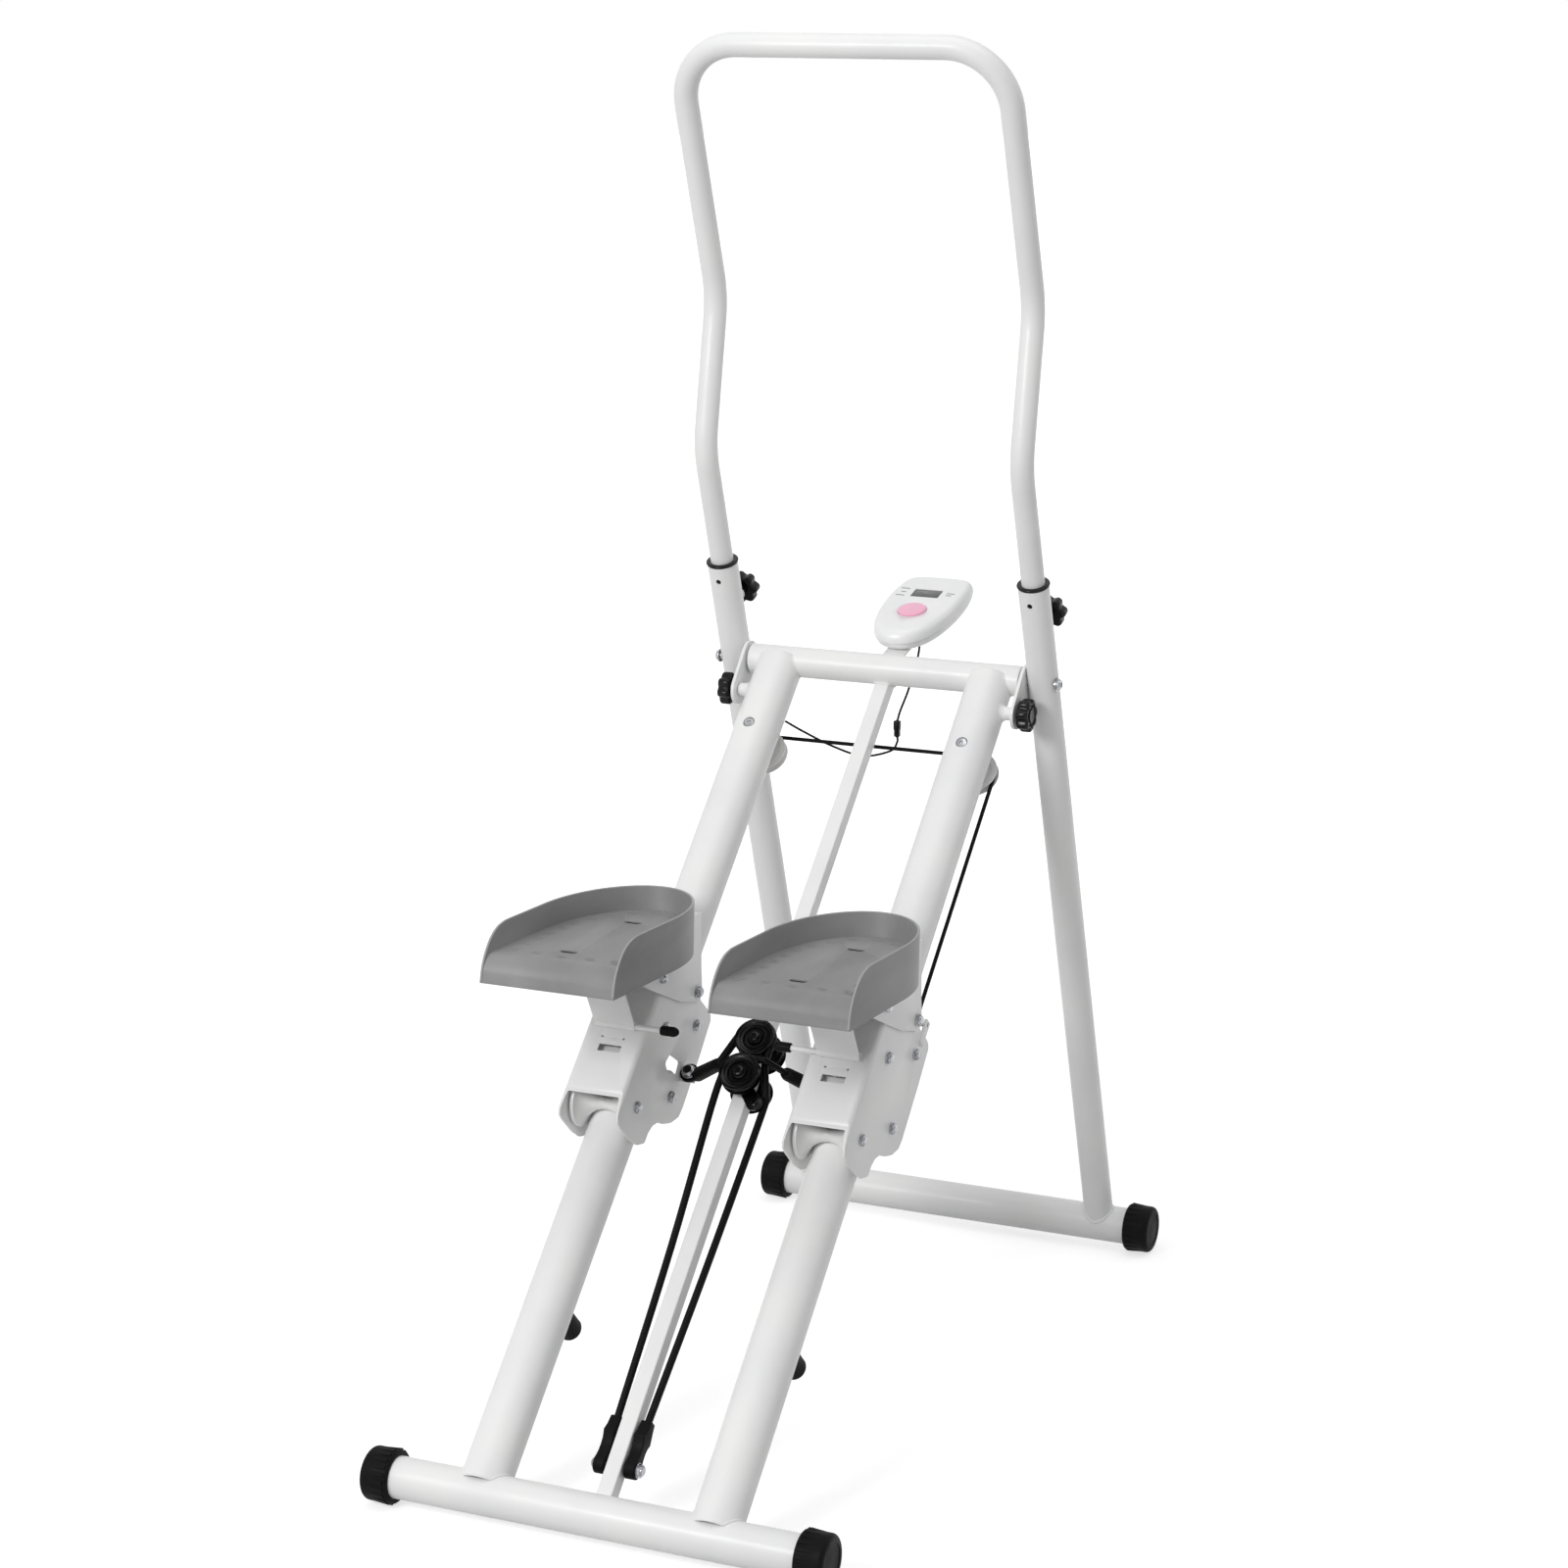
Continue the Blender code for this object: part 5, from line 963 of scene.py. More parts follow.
def upright(side_name, side):
    """A rear upright coped on its base tube, with its hinge plate, clamp boss and snap-button hole."""
    x = side * UPRIGHT_X
    spring = UPRIGHT_LENGTH - SPRING_HOLE_DROP
    levels = (0.012, 0.045, spring - 0.01, UPRIGHT_LENGTH)
    foot, stem, head = (
        tube((x, 0, low), (x, 0, high), UPRIGHT_RADIUS, TUBE_WALL) for low, high in zip(levels, levels[1:])
    )
    spring_hole = rod((x, -0.1, spring), (x, 0, spring), 0.0035, 32)
    shapes = [shaped(foot, [cope(x, 0.1, 0, BASE_RADIUS)]), stem, shaped(head, [spring_hole])]
    seam = []
    for angle, (across, normal) in zip(turns(120), circle(UPRIGHT_RADIUS, 120)):
        level = math.sqrt(BASE_RADIUS**2 - normal**2) + 0.0002 * math.sin(18 * angle)
        seam.append((x + across, normal, level))
    shapes.append(weld_bead(seam, 0.0023))
    profile = [(0.0185, 0.011), (0.0215, 0.0105), (0.0235, 0.0092), (CLAMP_BOSS_END - 0.0008, 0.0089)]
    profile += [(CLAMP_BOSS_END, 0.008), (CLAMP_BOSS_END, BOLT_BORE), (0.0185, BOLT_BORE)]
    shapes.append(turned(profile, (x, 0, UPRIGHT_LENGTH - CLAMP_DROP), ALONG, 48))
    shapes.append(hinge_plate(side))
    dressed(f"upright_{side_name}", merged(shapes), UPRIGHT, WHITE_STEEL, "rear_frame")


def hinge_plate(side):
    """The teardrop plate on the hinge and lock screws."""
    inward = UPRIGHT.inverted()
    hinge = inward @ Vector((0, HINGE_Y, HINGE_Z))
    lock = inward @ (RAIL @ Vector((0, LOCK_ALONG, 0)))
    ends = side * PLATE_INNER_X, side * (UPRIGHT_X - UPRIGHT_RADIUS + 0.001)
    discs = [rod_x(*ends, at.y, at.z, radius, 96) for at, radius in ((hinge, 0.023), (lock, 0.019))]
    hole = rod_x(side * 0.18, side * 0.21, lock.y, lock.z, BOLT_BORE, 32)
    return shaped(hull(discs), [hole], edge=0.0007, steps=3)


def pivot_bolt(side_name, side):
    """The hinge bolt's domed head on its washer, outside the upright."""
    seat = UPRIGHT_X + UPRIGHT_RADIUS + GAP
    profile = [(0.176, 0), (0.176, PIVOT_RADIUS), (seat, PIVOT_RADIUS), (seat, 0.009), (seat + 0.0011, 0.009)]
    profile += [(seat + 0.0012, 0.0074), (seat + 0.0032, 0.0072)]
    profile += rounding(seat + 0.0032, 0, 0.0072, 10, 62, 8, 0.0036)
    profile += [(seat + 0.0062, 0.003), (seat + 0.0045, 0.0027), (seat + 0.0043, 0)]
    body = turned(profile, (0, HINGE_Y, HINGE_Z), (side, 0, 0), 48)
    dressed(f"pivot_bolt_{side_name}", body, WORLD, ZINC, "rear_frame")


def bushing(side_name, side):
    """The split plastic bush in the top of an upright, with a rolled collar."""
    x = side * UPRIGHT_X
    top = UPRIGHT_LENGTH + GAP
    outer = UPRIGHT_RADIUS - TUBE_WALL - GAP
    bore = HANDLE_RADIUS + 0.0002
    profile = [(top - 0.024, bore), (top - 0.024, outer), (top, outer), (top, 0.0205)]
    profile += rounding(top + 0.002, 0.0193, 0.002, -80, 90, 10)
    profile += [(top + 0.0038, bore + 0.0008), (top + 0.003, bore)]
    body = turned(profile, (x, 0, 0), sides=72)
    split = box((x - 0.0006, 0, top - 0.03), (x + 0.0006, 0.03, top + 0.01))
    dressed(f"bushing_{side_name}", shaped(body, [split]), UPRIGHT, BLACK_NYLON, "rear_frame")


def star_outline(radius, depth):
    """A knob's lobed rim."""
    points = []
    for angle in turns(KNOB_LOBES * 16):
        swing = (1 - math.cos(KNOB_LOBES * angle)) / 2
        reach = radius - depth * swing**1.5
        points.append((reach * math.cos(angle), reach * math.sin(angle)))
    return points


def star_knob(name, origin, axis, screw_start, neck_start, disc_start, place):
    """A star knob: a lobed grip with rolled edges, a hollow face with a hub, and its threaded screw."""
    at = on_axis(origin, axis)
    end = disc_start + KNOB_THICKNESS
    rolled = [(0, 0.003), (0.0006, 0.0016), (0.002, 0.0004), (0.0036, 0)]
    levels = [(disc_start + along, shrink) for along, shrink in rolled]
    rolled = [(0.0036, 0), (0.002, 0.0005), (0.0008, 0.0016), (0.0001, 0.0034), (0, 0.0044)]
    rolled += [(0.0004, 0.0056), (0.0022, 0.0066), (0.0026, 0.008)]
    levels += [(end - down, shrink) for down, shrink in rolled]
    rings = []
    for along, shrink in levels:
        depth = LOBE_DEPTH * max(1 - shrink / 0.012, 0.2)
        rings.append(at(star_outline(KNOB_RADIUS - shrink, depth), along))
    for radius, down in ((0.0098, 0.0027), (0.0092, 0.0024), (0.0088, 0.0008), (0.008, 0.0002)):
        rings.append(at(circle(radius, KNOB_LOBES * 16), end - down))
    rings.append(at([(0, 0)], end))
    neck = [(neck_start, 0), (neck_start, 0.0072), (neck_start + 0.0006, 0.008), (disc_start + 0.003, 0.0088)]
    neck.append((disc_start + 0.003, 0))
    shapes = [add_rings(rings), turned(neck, origin, axis, 48)]
    dressed(name, merged(shapes), place, BLACK_NYLON, name)
    root = SCREW_RADIUS - 0.0006
    thread = [(screw_start, 0), (screw_start, SCREW_RADIUS - 0.0008)]
    for i in range(int((neck_start - screw_start) / PITCH)):
        thread += [(screw_start + PITCH * (i + 0.5), SCREW_RADIUS), (screw_start + PITCH * (i + 1), root)]
    thread += [(neck_start + 0.0005, root), (neck_start + 0.0005, 0)]
    make_piece(f"{name}_screw", turned(thread, origin, axis, 32), place, ZINC, name)


def knobs(side_name, side):
    """The lock knob on the hinge plate, and the clamp knob behind the upright."""
    lock = RAIL @ Vector((0, LOCK_ALONG, 0))
    origin = (0, lock.y, lock.z)
    star_knob(f"lock_knob_{side_name}", origin, (side, 0, 0), 0.1921, 0.1963, LOCK_KNOB_INNER_X, WORLD)
    origin = (side * UPRIGHT_X, 0, UPRIGHT_LENGTH - CLAMP_DROP)
    neck = CLAMP_BOSS_END + GAP
    star_knob(f"clamp_knob_{side_name}", origin, ALONG, HANDLE_RADIUS + GAP, neck, neck + 0.009, UPRIGHT)


def handlebar():
    """One bent tube: both legs, their two bends and the rounded top."""
    foot = UPRIGHT @ Vector((0, 0, UPRIGHT_LENGTH - HANDLE_INSERTION))
    low = UPRIGHT @ Vector((0, 0, UPRIGHT_LENGTH + HANDLE_STRAIGHT))
    points = [(foot.y, foot.z), (low.y, low.z), HANDLE_HIGH_BEND, HANDLE_TOP]
    corners = [(-UPRIGHT_X, y, z) for y, z in points] + [(UPRIGHT_X, y, z) for y, z in reversed(points)]
    radii = [HANDLE_BEND_RADIUS, HANDLE_BEND_RADIUS, HANDLE_CORNER_RADIUS]
    path = rounded_path(corners, radii + radii[::-1], 20)
    body = swept(path, HANDLE_RADIUS, HANDLE_RADIUS - 0.0018, 64)
    dressed("handlebar", body, WORLD, WHITE_STEEL, "handlebar")


def hex_ring(flats, level, limit):
    """A ring of a chamfered hexagon, cut back to a round limit."""
    ring = []
    for angle in turns(72):
        within = angle % (math.tau / 6) - math.tau / 12
        reach = min(flats / 2 / math.cos(within), limit)
        ring.append(Vector((reach * math.cos(angle), reach * math.sin(angle), level)))
    return ring


def lock_nut(flats, height, bolt_radius, stands):
    """A lock nut on its washer, with the bolt's end through its collar. It stands on z = 0."""
    wide = flats * 0.6
    low = WASHER
    top = low + height
    washer = turned([(0, 0), (0, wide), (0.0009, wide + 0.0002), (low, wide - 0.0002), (low, 0)], sides=48)
    levels = [(low, 0.535), (low + 0.0006, 0.58), (top - 0.0012, 0.58), (top - 0.0004, 0.515), (top, 0.47)]
    body = add_rings([hex_ring(flats, level, flats * limit) for level, limit in levels])
    collar = [(top - 0.0002, 0), (top - 0.0002, flats * 0.44), (top + 0.001, flats * 0.43)]
    collar += [(top + 0.0017, flats * 0.36), (top + 0.0016, 0)]
    end = [(top, 0), (top, bolt_radius)]
    for i in range(int(stands / 0.0008)):
        end += [(top + 0.0008 * (i + 0.5), bolt_radius - GAP), (top + 0.0008 * (i + 1), bolt_radius)]
    end += [(top + stands + 0.0006, bolt_radius - 0.0006), (top + stands + 0.0006, 0)]
    return merged([washer, body, turned(collar, sides=48), turned(end, sides=32)])


def button_head(radius, height):
    """A domed bolt head with a hex socket. It stands on z = 0."""
    rim = radius * 0.42
    dome = rounding(0, 0, 1, 6, 58, 8)
    levels = [(0, radius)] + [(height * up / 0.85, radius * across) for up, across in dome]
    rings = [[Vector((a, b, level)) for a, b in circle(size, 72)] for level, size in levels]
    rings.append(hex_ring(rim * 2, height, rim * 1.12))
    rings += [hex_ring(rim * 1.9, height - down, rim * 1.1) for down in (0.0002, 0.0019)]
    return add_rings(rings)


def fasteners(fastener, places):
    """Copies of one fastener at (position, direction) pairs."""
    mesh = bpy.data.meshes.new("places")
    mesh.from_pydata([place for place, _ in places], [], [])
    facing = mesh.attributes.new("facing", "FLOAT_VECTOR", "POINT")
    for entry, (_, direction) in zip(facing.data, places):
        entry.vector = direction
    points = linked("places", mesh)
    result = through_nodes(fastener, FASTENERS, {"Places": points, "Material": ZINC})
    bpy.data.objects.remove(points)
    bpy.data.meshes.remove(mesh)
    return result


def grip_rings(points, count):
    """A double row of raised rings along a line on the pedal's floor."""
    shapes = []
    for ring_radius, ridge_radius in ((0.0058, 0.00022), (0.0026, 0.00018)):
        bm = bmesh.new()
        verts = [bm.verts.new(point) for point in points]
        for first, second in zip(verts, verts[1:]):
            bm.edges.new((first, second))
        values = {"Count": count, "Radius": ring_radius, "Ridge": ridge_radius, "Material": GREY_PLASTIC}
        shapes.append(through_nodes(bm, RINGS, values))
    return shapes


def housing_outline():
    """The carriage side plate's outline along and square to the rail."""
    points = [(0.64, FRONT_NORMAL + 0.001), (0.497, FRONT_NORMAL + 0.001)]
    points += [(0.49, 0.079), (0.462, 0.076), (0.456, 0.07), (0.455, 0.06), (0.457, 0.025)]
    points += [(0.462, 0.003), (0.474, -0.014), (0.488, -0.014), (0.501, -0.019), (0.511, -0.029)]
    points += [(0.516, -0.042), (0.522, -0.052), (0.53, -0.064), (0.546, -0.078), (0.56, -0.08)]
    points += [(0.632, -0.077), (0.682, -0.073), (0.687, -0.068), (0.688, -0.06), (0.685, -0.028)]
    points += [(0.69, -0.022), (0.697, -0.014), (0.699, -0.005), (0.697, 0.003)]
    return rounded_outline(points, 0.006, 5)


def housing_section(x, grow):
    """The housing's U section across the rail, bent up from one sheet."""
    half = PLATE_OUTER - grow
    top = FRONT_NORMAL - grow
    radius = HOUSING_BEND - grow
    points = [(half, -0.12 - grow)]
    points += arc((half - radius, top - radius), radius, 0, 90, 10)
    points += arc((-half + radius, top - radius), radius, 90, 180, 10)
    points.append((-half, -0.12 - grow))
    return [(x + a, b) for a, b in points]


def carriage_housing(side_name, side):
    """A bent sheet housing round the rail, with the latch window, the rope lug and the band stud's tab."""
    x = side * RAIL_X
    slab = extruded(housing_section(x, 0), 0.44, 0.71, "Y")
    core = extruded(housing_section(x, SHEET), 0.4, 0.75, "Y")
    outline = extruded(housing_outline(), x - 0.06, x + 0.06)
    pentagon = [(0.59, 0.0015), (0.598, -0.031), (0.5825, -0.0346), (0.57, -0.009), (0.5755, 0.006)]
    cuts = [core, box((x - 0.015, 0.543, 0.07), (x + 0.015, 0.553, 0.09))]
    cuts.append(extruded(rounded_outline(pentagon, 0.004, 4), *span_from(x, -side, 0.03, 0.05)))
    cuts += [rod_z(x + dot, 0.5625, 0.07, 0.09, 0.0015, 20) for dot in (-0.0145, 0.0145)]
    cuts.append(box((x - 0.0145, 0.5621, FRONT_NORMAL - 0.0005), (x + 0.0145, 0.5629, FRONT_NORMAL + 0.001)))
    shell = shaped(slab, cuts, [outline], edge=0.0005)
    low, high = span_from(x, side, PLATE_OUTER - 0.001, PLATE_OUTER + 0.0028)
    lug = box((low, 0.672, GUIDE_NORMAL - 0.006), (high, ROPE_PIN_ALONG + 0.005, GUIDE_NORMAL + 0.006))
    low, high = span_from(x, -side, PLATE_OUTER - 0.001, STUD_OFFSET + 0.009)
    tab = box((low, STUD_ALONG - 0.011, STUD_SEAT - SHEET), (high, STUD_ALONG + 0.011, STUD_SEAT))
    shapes = [shell, shaped(lug, edge=0.0007), shaped(tab, edge=0.0008)]
    name = f"carriage_housing_{side_name}"
    dressed(name, merged(shapes), RAIL, WHITE_STEEL, f"carriage_{side_name}", angle=30)


def latch_catch(side_name, side):
    """The spring catch under the housing's window: a steel strip with a turned-down nose."""
    x = side * RAIL_X
    strip = box((x - 0.0375, 0.5405, 0.069), (x + 0.0375, 0.556, 0.0705))
    nose = box((x - 0.006, 0.544, 0.064), (x + 0.006, 0.5525, 0.0695))
    shapes = [shaped(strip, edge=0.0004), shaped(nose, edge=0.0006)]
    make_piece(f"latch_catch_{side_name}", merged(shapes), RAIL, WHITE_STEEL, f"carriage_{side_name}")


def carriage_fasteners(side_name, side):
    """The carriage's bright steel: four axles with nuts, the pedal pivots, the rope pin and the band stud."""
    x = side * RAIL_X
    body = f"carriage_{side_name}"
    nuts, heads, shapes = [], [], []
    for along, normal in AXLES.values():
        shapes.append(rod_x(x - PLATE_OUTER, x + PLATE_OUTER, along, normal, AXLE_RADIUS, 32))
        nuts.append(((x + PLATE_OUTER, along, normal), ACROSS))
        heads.append(((x - PLATE_OUTER, along, normal), BACK_ACROSS))
    seat = BRACKET_INNER + BRACKET_SHEET + GAP
    for end in (-1, 1):
        shapes.append(rod_x(*span_from(x, end, PLATE_OUTER - SHEET, seat), *PEDAL_PIVOT, 0.005, 32))
    nuts.append(((x + seat, *PEDAL_PIVOT), ACROSS))
    heads.append(((x - seat, *PEDAL_PIVOT), BACK_ACROSS))
    shapes.append(fasteners(lock_nut(*SMALL_NUT), nuts))
    shapes.append(fasteners(button_head(HEAD_RADIUS, 0.0042), heads))
    pin = span_from(x, side, 0.02, PLATE_OUTER + 0.0038)
    shapes.append(rod_x(*pin, ROPE_PIN_ALONG, GUIDE_NORMAL, 0.003, 24))
    stud_x = x - side * STUD_OFFSET
    clip_top = STUD_SEAT + 0.0056
    height = 0.0046
    shapes.append(rod_z(stud_x, STUD_ALONG, STUD_SEAT - SHEET, clip_top, AXLE_RADIUS, 32))
    nut = lock_nut(0.0152, height, 0.0036, 0.0002)
    shapes.append(placed(nut, Matrix.Translation((stud_x, STUD_ALONG, clip_top))))
    make_piece(f"carriage_fasteners_{side_name}", merged(shapes), RAIL, ZINC, body)
    top = clip_top + WASHER + height
    insert = [(top, 0), (top, 0.0062), (top + 0.0019, 0.0056), (top + 0.002, 0)]
    insert = turned(insert, (stud_x, STUD_ALONG, 0), sides=40)
    make_piece(f"stud_insert_{side_name}", insert, RAIL, BLACK_NYLON, body)


def mirrored(section):
    return [(-along, radius) for along, radius in section[::-1]]


def rollers(side_name, side):
    """Four hourglass rollers that grip the round rail, each with rounded rims and recessed ends."""
    hold = RAIL_RADIUS + 0.0005
    half = ROLLER_HALF_LENGTH
    edge = AXLE_NORMAL - hold * math.cos(math.radians(80)) - 0.0022
    face = [(half - 0.0022 + a, edge + b) for a, b in arc((0, 0), 0.0022, 85, 15, 5)]
    face += [(half, edge), (half, 0.013), (half - 0.0015, 0.011), (half - 0.0015, BOLT_BORE)]
    waist = []
    for i in range(33):
        angle = math.radians(-79 + 158 * i / 32)
        waist.append((hold * math.sin(angle), AXLE_NORMAL - hold * math.cos(angle)))
    for place_name, place in AXLES.items():
        name = f"roller_{side_name}_{place_name}"
        body = turned(mirrored(face) + waist + face, (side * RAIL_X, *place), ACROSS, 72)
        dressed(name, body, RAIL, NYLON, name)


def oval_slot(along, low, high):
    """A 22 by 11 mm slot across the pedal, as a cutter."""
    outline = arc((0.0055, along), 0.0055, -90, 90, 10) + arc((-0.0055, along), 0.0055, 90, 270, 10)
    return extruded(outline, low, high, "Z")


def lever_place(side):
    return pedal_place(side).inverted() @ (RAIL @ Vector((side * RAIL_X, *LEVER)))


def pedal_bracket(side_name, side):
    """The bent bracket under a pedal: a top plate, two gussets with eyes, and a leg with a rolled hem."""
    place = pedal_place(side)
    pedal_body = f"pedal_{side_name}"
    top = PEDAL_FLOOR - PEDAL_SHEET - GAP
    outer = BRACKET_INNER + BRACKET_SHEET
    outline = [(-0.1982, top), (-0.169, 0.0479), (-0.1321, 0.0316), (-0.0862, 0.0128), (-0.0485, -0.002)]
    outline += arc((0, 0), 0.0145, 235, 360, 16)
    outline += [(0.011, 0.03), (0.009, top)]
    hollow = box((-BRACKET_INNER, -0.5, -0.2), (BRACKET_INNER, 0.5, top - BRACKET_SHEET))
    cuts = [hollow, rod_x(-1, 1, 0, 0, 0.0053, 32)]
    cuts += [oval_slot(along, 0.05, 0.2) for along in PEDAL_SLOTS]
    leg = [(-0.1417, -0.017), (-0.1701, 0.0308), (-0.1978, top - 0.0005)]
    leg += [(-0.1948, top - 0.0005), (-0.1671, 0.032), (-0.1388, -0.0155)]
    lever = lever_place(side)
    hem = [(0.0266, 0.0052), (LEG_HALF, 0.0049), (LEG_HALF, 0.0038)]
    shapes = [
        shaped(extruded(outline, -outer, outer), cuts, edge=0.0006),
        shaped(extruded(leg, -LEG_HALF, LEG_HALF), edge=0.0006),
        turned(mirrored(hem) + hem, (0, lever.y, lever.z), ACROSS, 40),
    ]
    dressed(f"pedal_bracket_{side_name}", merged(shapes), place, WHITE_STEEL, pedal_body)
    bolts = [((end * outer, *GUSSET_BOLT), (end, 0, 0)) for end in (-1, 1)]
    nuts = fasteners(lock_nut(*SMALL_NUT), bolts)
    make_piece(f"bracket_nuts_{side_name}", nuts, place, ZINC, pedal_body)


def latch_lever(side_name, side):
    """The latch rod in the bracket's hem, with a dipped black grip on the end towards the middle."""
    lever = lever_place(side)
    name = f"latch_lever_{side_name}"
    grip = 0.0615
    bar = [(-0.015, 0), (-0.015, 0.003), (-0.0145, 0.0035), (grip + 0.002, 0.0035), (grip + 0.002, 0)]
    cover = [(grip, 0), (grip, 0.0036), (grip, 0.005), (grip + 0.0008, 0.0058), (grip + 0.004, 0.006)]
    cover += rounding(grip + 0.0155, 0, 0.0062, 0, 84, 12, 0.008) + [(grip + 0.0235, 0)]
    bar, cover = (turned(profile, (0, lever.y, lever.z), (-side, 0, 0), 40) for profile in (bar, cover))
    dressed(name, bar, pedal_place(side), WHITE_STEEL, name)
    make_piece(f"lever_grip_{side_name}", cover, pedal_place(side), RUBBER, name)


def pedal_plan(inset, heel):
    """The pedal seen from above: straight sides, a half-elliptical toe and a straight heel."""
    half = PEDAL_WIDTH / 2 - inset
    start = PEDAL_TOE - PEDAL_TOE_LENGTH
    toe = rounding(start, PEDAL_SHIFT, half, 0, 180, 64, PEDAL_TOE_LENGTH - inset)
    return [(PEDAL_SHIFT + half, heel)] + [(a, b) for b, a in toe] + [(PEDAL_SHIFT - half, heel)]


def heel_curve(shift):
    """The floor's line seen from the side, curling down at the heel."""
    drop = 0.032 - shift
    level = PEDAL_FLOOR - shift - drop
    curve = rounding(level, PEDAL_HEEL + HEEL_CURL, HEEL_CURL - shift, 180, 90, 18, drop)
    return [(along, up) for up, along in curve]


def rim_rise():
    """The rim's line seen from the side, from the heel up to the level wall."""
    rise = [(-0.33, 0.072), (-0.327, 0.087), (-0.3215, 0.1), (-0.313, 0.112), (-0.303, 0.1215)]
    rise += [(-0.29, 0.1285), (-0.275, 0.132)] + [(along, RIM) for along in (-0.262, -0.235, -0.175)]
    return [(point.x, point.y) for point in smooth_path([(a, b, 0) for a, b in rise], 5)]


def slot_shade_plugs(side_name, side):
    """Dark plugs of black rubber sunk in the pedal's two slots: painted shade for the dark insides of the
    holes.
    """
    plugs = [oval_slot(along, PEDAL_FLOOR - PEDAL_SHEET, PEDAL_FLOOR - 0.0017) for along in PEDAL_SLOTS]
    make_piece(f"pedal_plugs_{side_name}", merged(plugs), pedal_place(side), RUBBER, f"pedal_{side_name}")


def rim_highlight_bead(side_name, side):
    """The rim's rounded lip, painted paler than the wall under it: a painted highlight along the rim's top
    edge.
    """
    half = PEDAL_WIDTH / 2 - RIM_BEAD
    rise = rim_rise()
    path = [Vector((PEDAL_SHIFT + half, along, level - 0.0006)) for along, level in rise]
    path += [Vector((a, b, RIM - 0.0006)) for a, b in pedal_plan(RIM_BEAD, PEDAL_HEEL)[1:-1]]
    path += [Vector((PEDAL_SHIFT - half, along, level - 0.0006)) for along, level in rise[::-1]]
    lip = swept(path, RIM_BEAD, sides=12)
    make_piece(f"pedal_lip_{side_name}", lip, pedal_place(side), HIGHLIGHT_PLASTIC, f"pedal_{side_name}")


def pedal(side_name, side):
    """A moulded foot plate: a floor with grip rings and two slots, a rim round the toe and a rolled heel."""
    bottom = PEDAL_FLOOR - PEDAL_SKIRT
    body = extruded(pedal_plan(0, PEDAL_HEEL - 0.001), bottom, 0.14, "Z")
    above = heel_curve(0)
    above = [(PEDAL_HEEL - 0.02, above[0][1]), *above, (0.05, PEDAL_FLOOR), (0.05, 0.2)]
    above.append((PEDAL_HEEL - 0.02, 0.2))
    under = heel_curve(PEDAL_SHEET)
    under = [(under[0][0], bottom - 0.02), *under, (0.05, PEDAL_FLOOR - PEDAL_SHEET), (0.05, bottom - 0.02)]
    outer = BRACKET_INNER + BRACKET_SHEET + 0.0005
    cuts = [box((-outer, -0.06, bottom - 0.01), (outer, 0.05, PEDAL_FLOOR - PEDAL_SHEET))]
    for line, past in ((above, 0.03), (under, 0.04)):
        inside = extruded(pedal_plan(PEDAL_SHEET, PEDAL_HEEL - past), 0, 0.3, "Z")
        cuts.append(shaped(inside, within=[extruded(line, -0.2, 0.2)]))
    cuts += [oval_slot(along, 0.05, 0.2) for along in PEDAL_SLOTS]
    rim = [(PEDAL_HEEL, bottom - 0.01), *rim_rise(), (0.02, RIM), (0.02, bottom - 0.01)]
    level = PEDAL_FLOOR + 0.0001
    shapes = [shaped(body, cuts, [extruded(rim, -0.2, 0.2)], edge=0.0007)]
    shapes += grip_rings([(a, b, level) for a, b in pedal_plan(0.021, -0.285)], 19)
    row = [(PEDAL_SHIFT + 0.0705 * (i / 2 - 1), -0.2925 + 0.004 * (i % 2), level) for i in range(5)]
    shapes += grip_rings(row, 5)
    name = f"pedal_{side_name}"
    dressed(name, merged(shapes), pedal_place(side), GREY_PLASTIC, name, angle=36)


def sheave_section(face, rim, depth, groove, steps):
    """A pulley's section: one face, its mirror image, and a round cord groove in the rim between them."""
    between = [(groove * a, rim - depth * abs(b)) for a, b in arc((0, 0), 1, 180, 0, steps)]
    return mirrored(face) + between + face


def guide_pulley(side_name, side):
    """A turned nylon pulley behind the rail's top, with a deep rope groove and dished faces."""
    half = GUIDE_HALF
    face = [(half - 0.0005, GUIDE_RADIUS), (half, GUIDE_RADIUS - 0.0008), (half, 0.023)]
    face += [(half - 0.0014, 0.0215), (half - 0.0014, 0.0098), (half, 0.0085), (half, 0.005)]
    face += [(half - 0.0012, BOLT_BORE)]
    depth = GUIDE_RADIUS - GUIDE_ROPE_RADIUS + ROPE_RADIUS + 0.0005
    section = sheave_section(face, GUIDE_RADIUS, depth, ROPE_RADIUS + 0.0018, 16)
    name = f"guide_pulley_{side_name}"
    body = turned(section, (side * RAIL_X, GUIDE_ALONG, GUIDE_NORMAL), sides=96)
    dressed(name, body, RAIL, NYLON, name)


def guide_bolt(side_name, side):
    """The bolt that carries a guide pulley, with its domed head sunk in the rail's front."""
    x = side * RAIL_X
    back = GUIDE_NORMAL - GUIDE_HALF - GAP
    head = [(0.02, 0), (0.02, 0.0071), (0.0282, 0.0071), (0.0291, 0.0064), (0.0294, 0.005)]
    head += [(0.0295, 0.0022), (0.0284, 0.0019), (0.0282, 0)]
    nut = Matrix.Translation((x, GUIDE_ALONG, back)) @ Matrix.Rotation(math.pi, 4, "X")
    shapes = [
        rod_z(x, GUIDE_ALONG, back, 0.0205, AXLE_RADIUS, 32),
        turned(head, (x, GUIDE_ALONG, 0), sides=48),
        placed(lock_nut(0.0112, 0.003, 0.0036, 0.0002), nut),
    ]
    dressed(f"guide_bolt_{side_name}", merged(shapes), RAIL, ZINC, "front_frame")


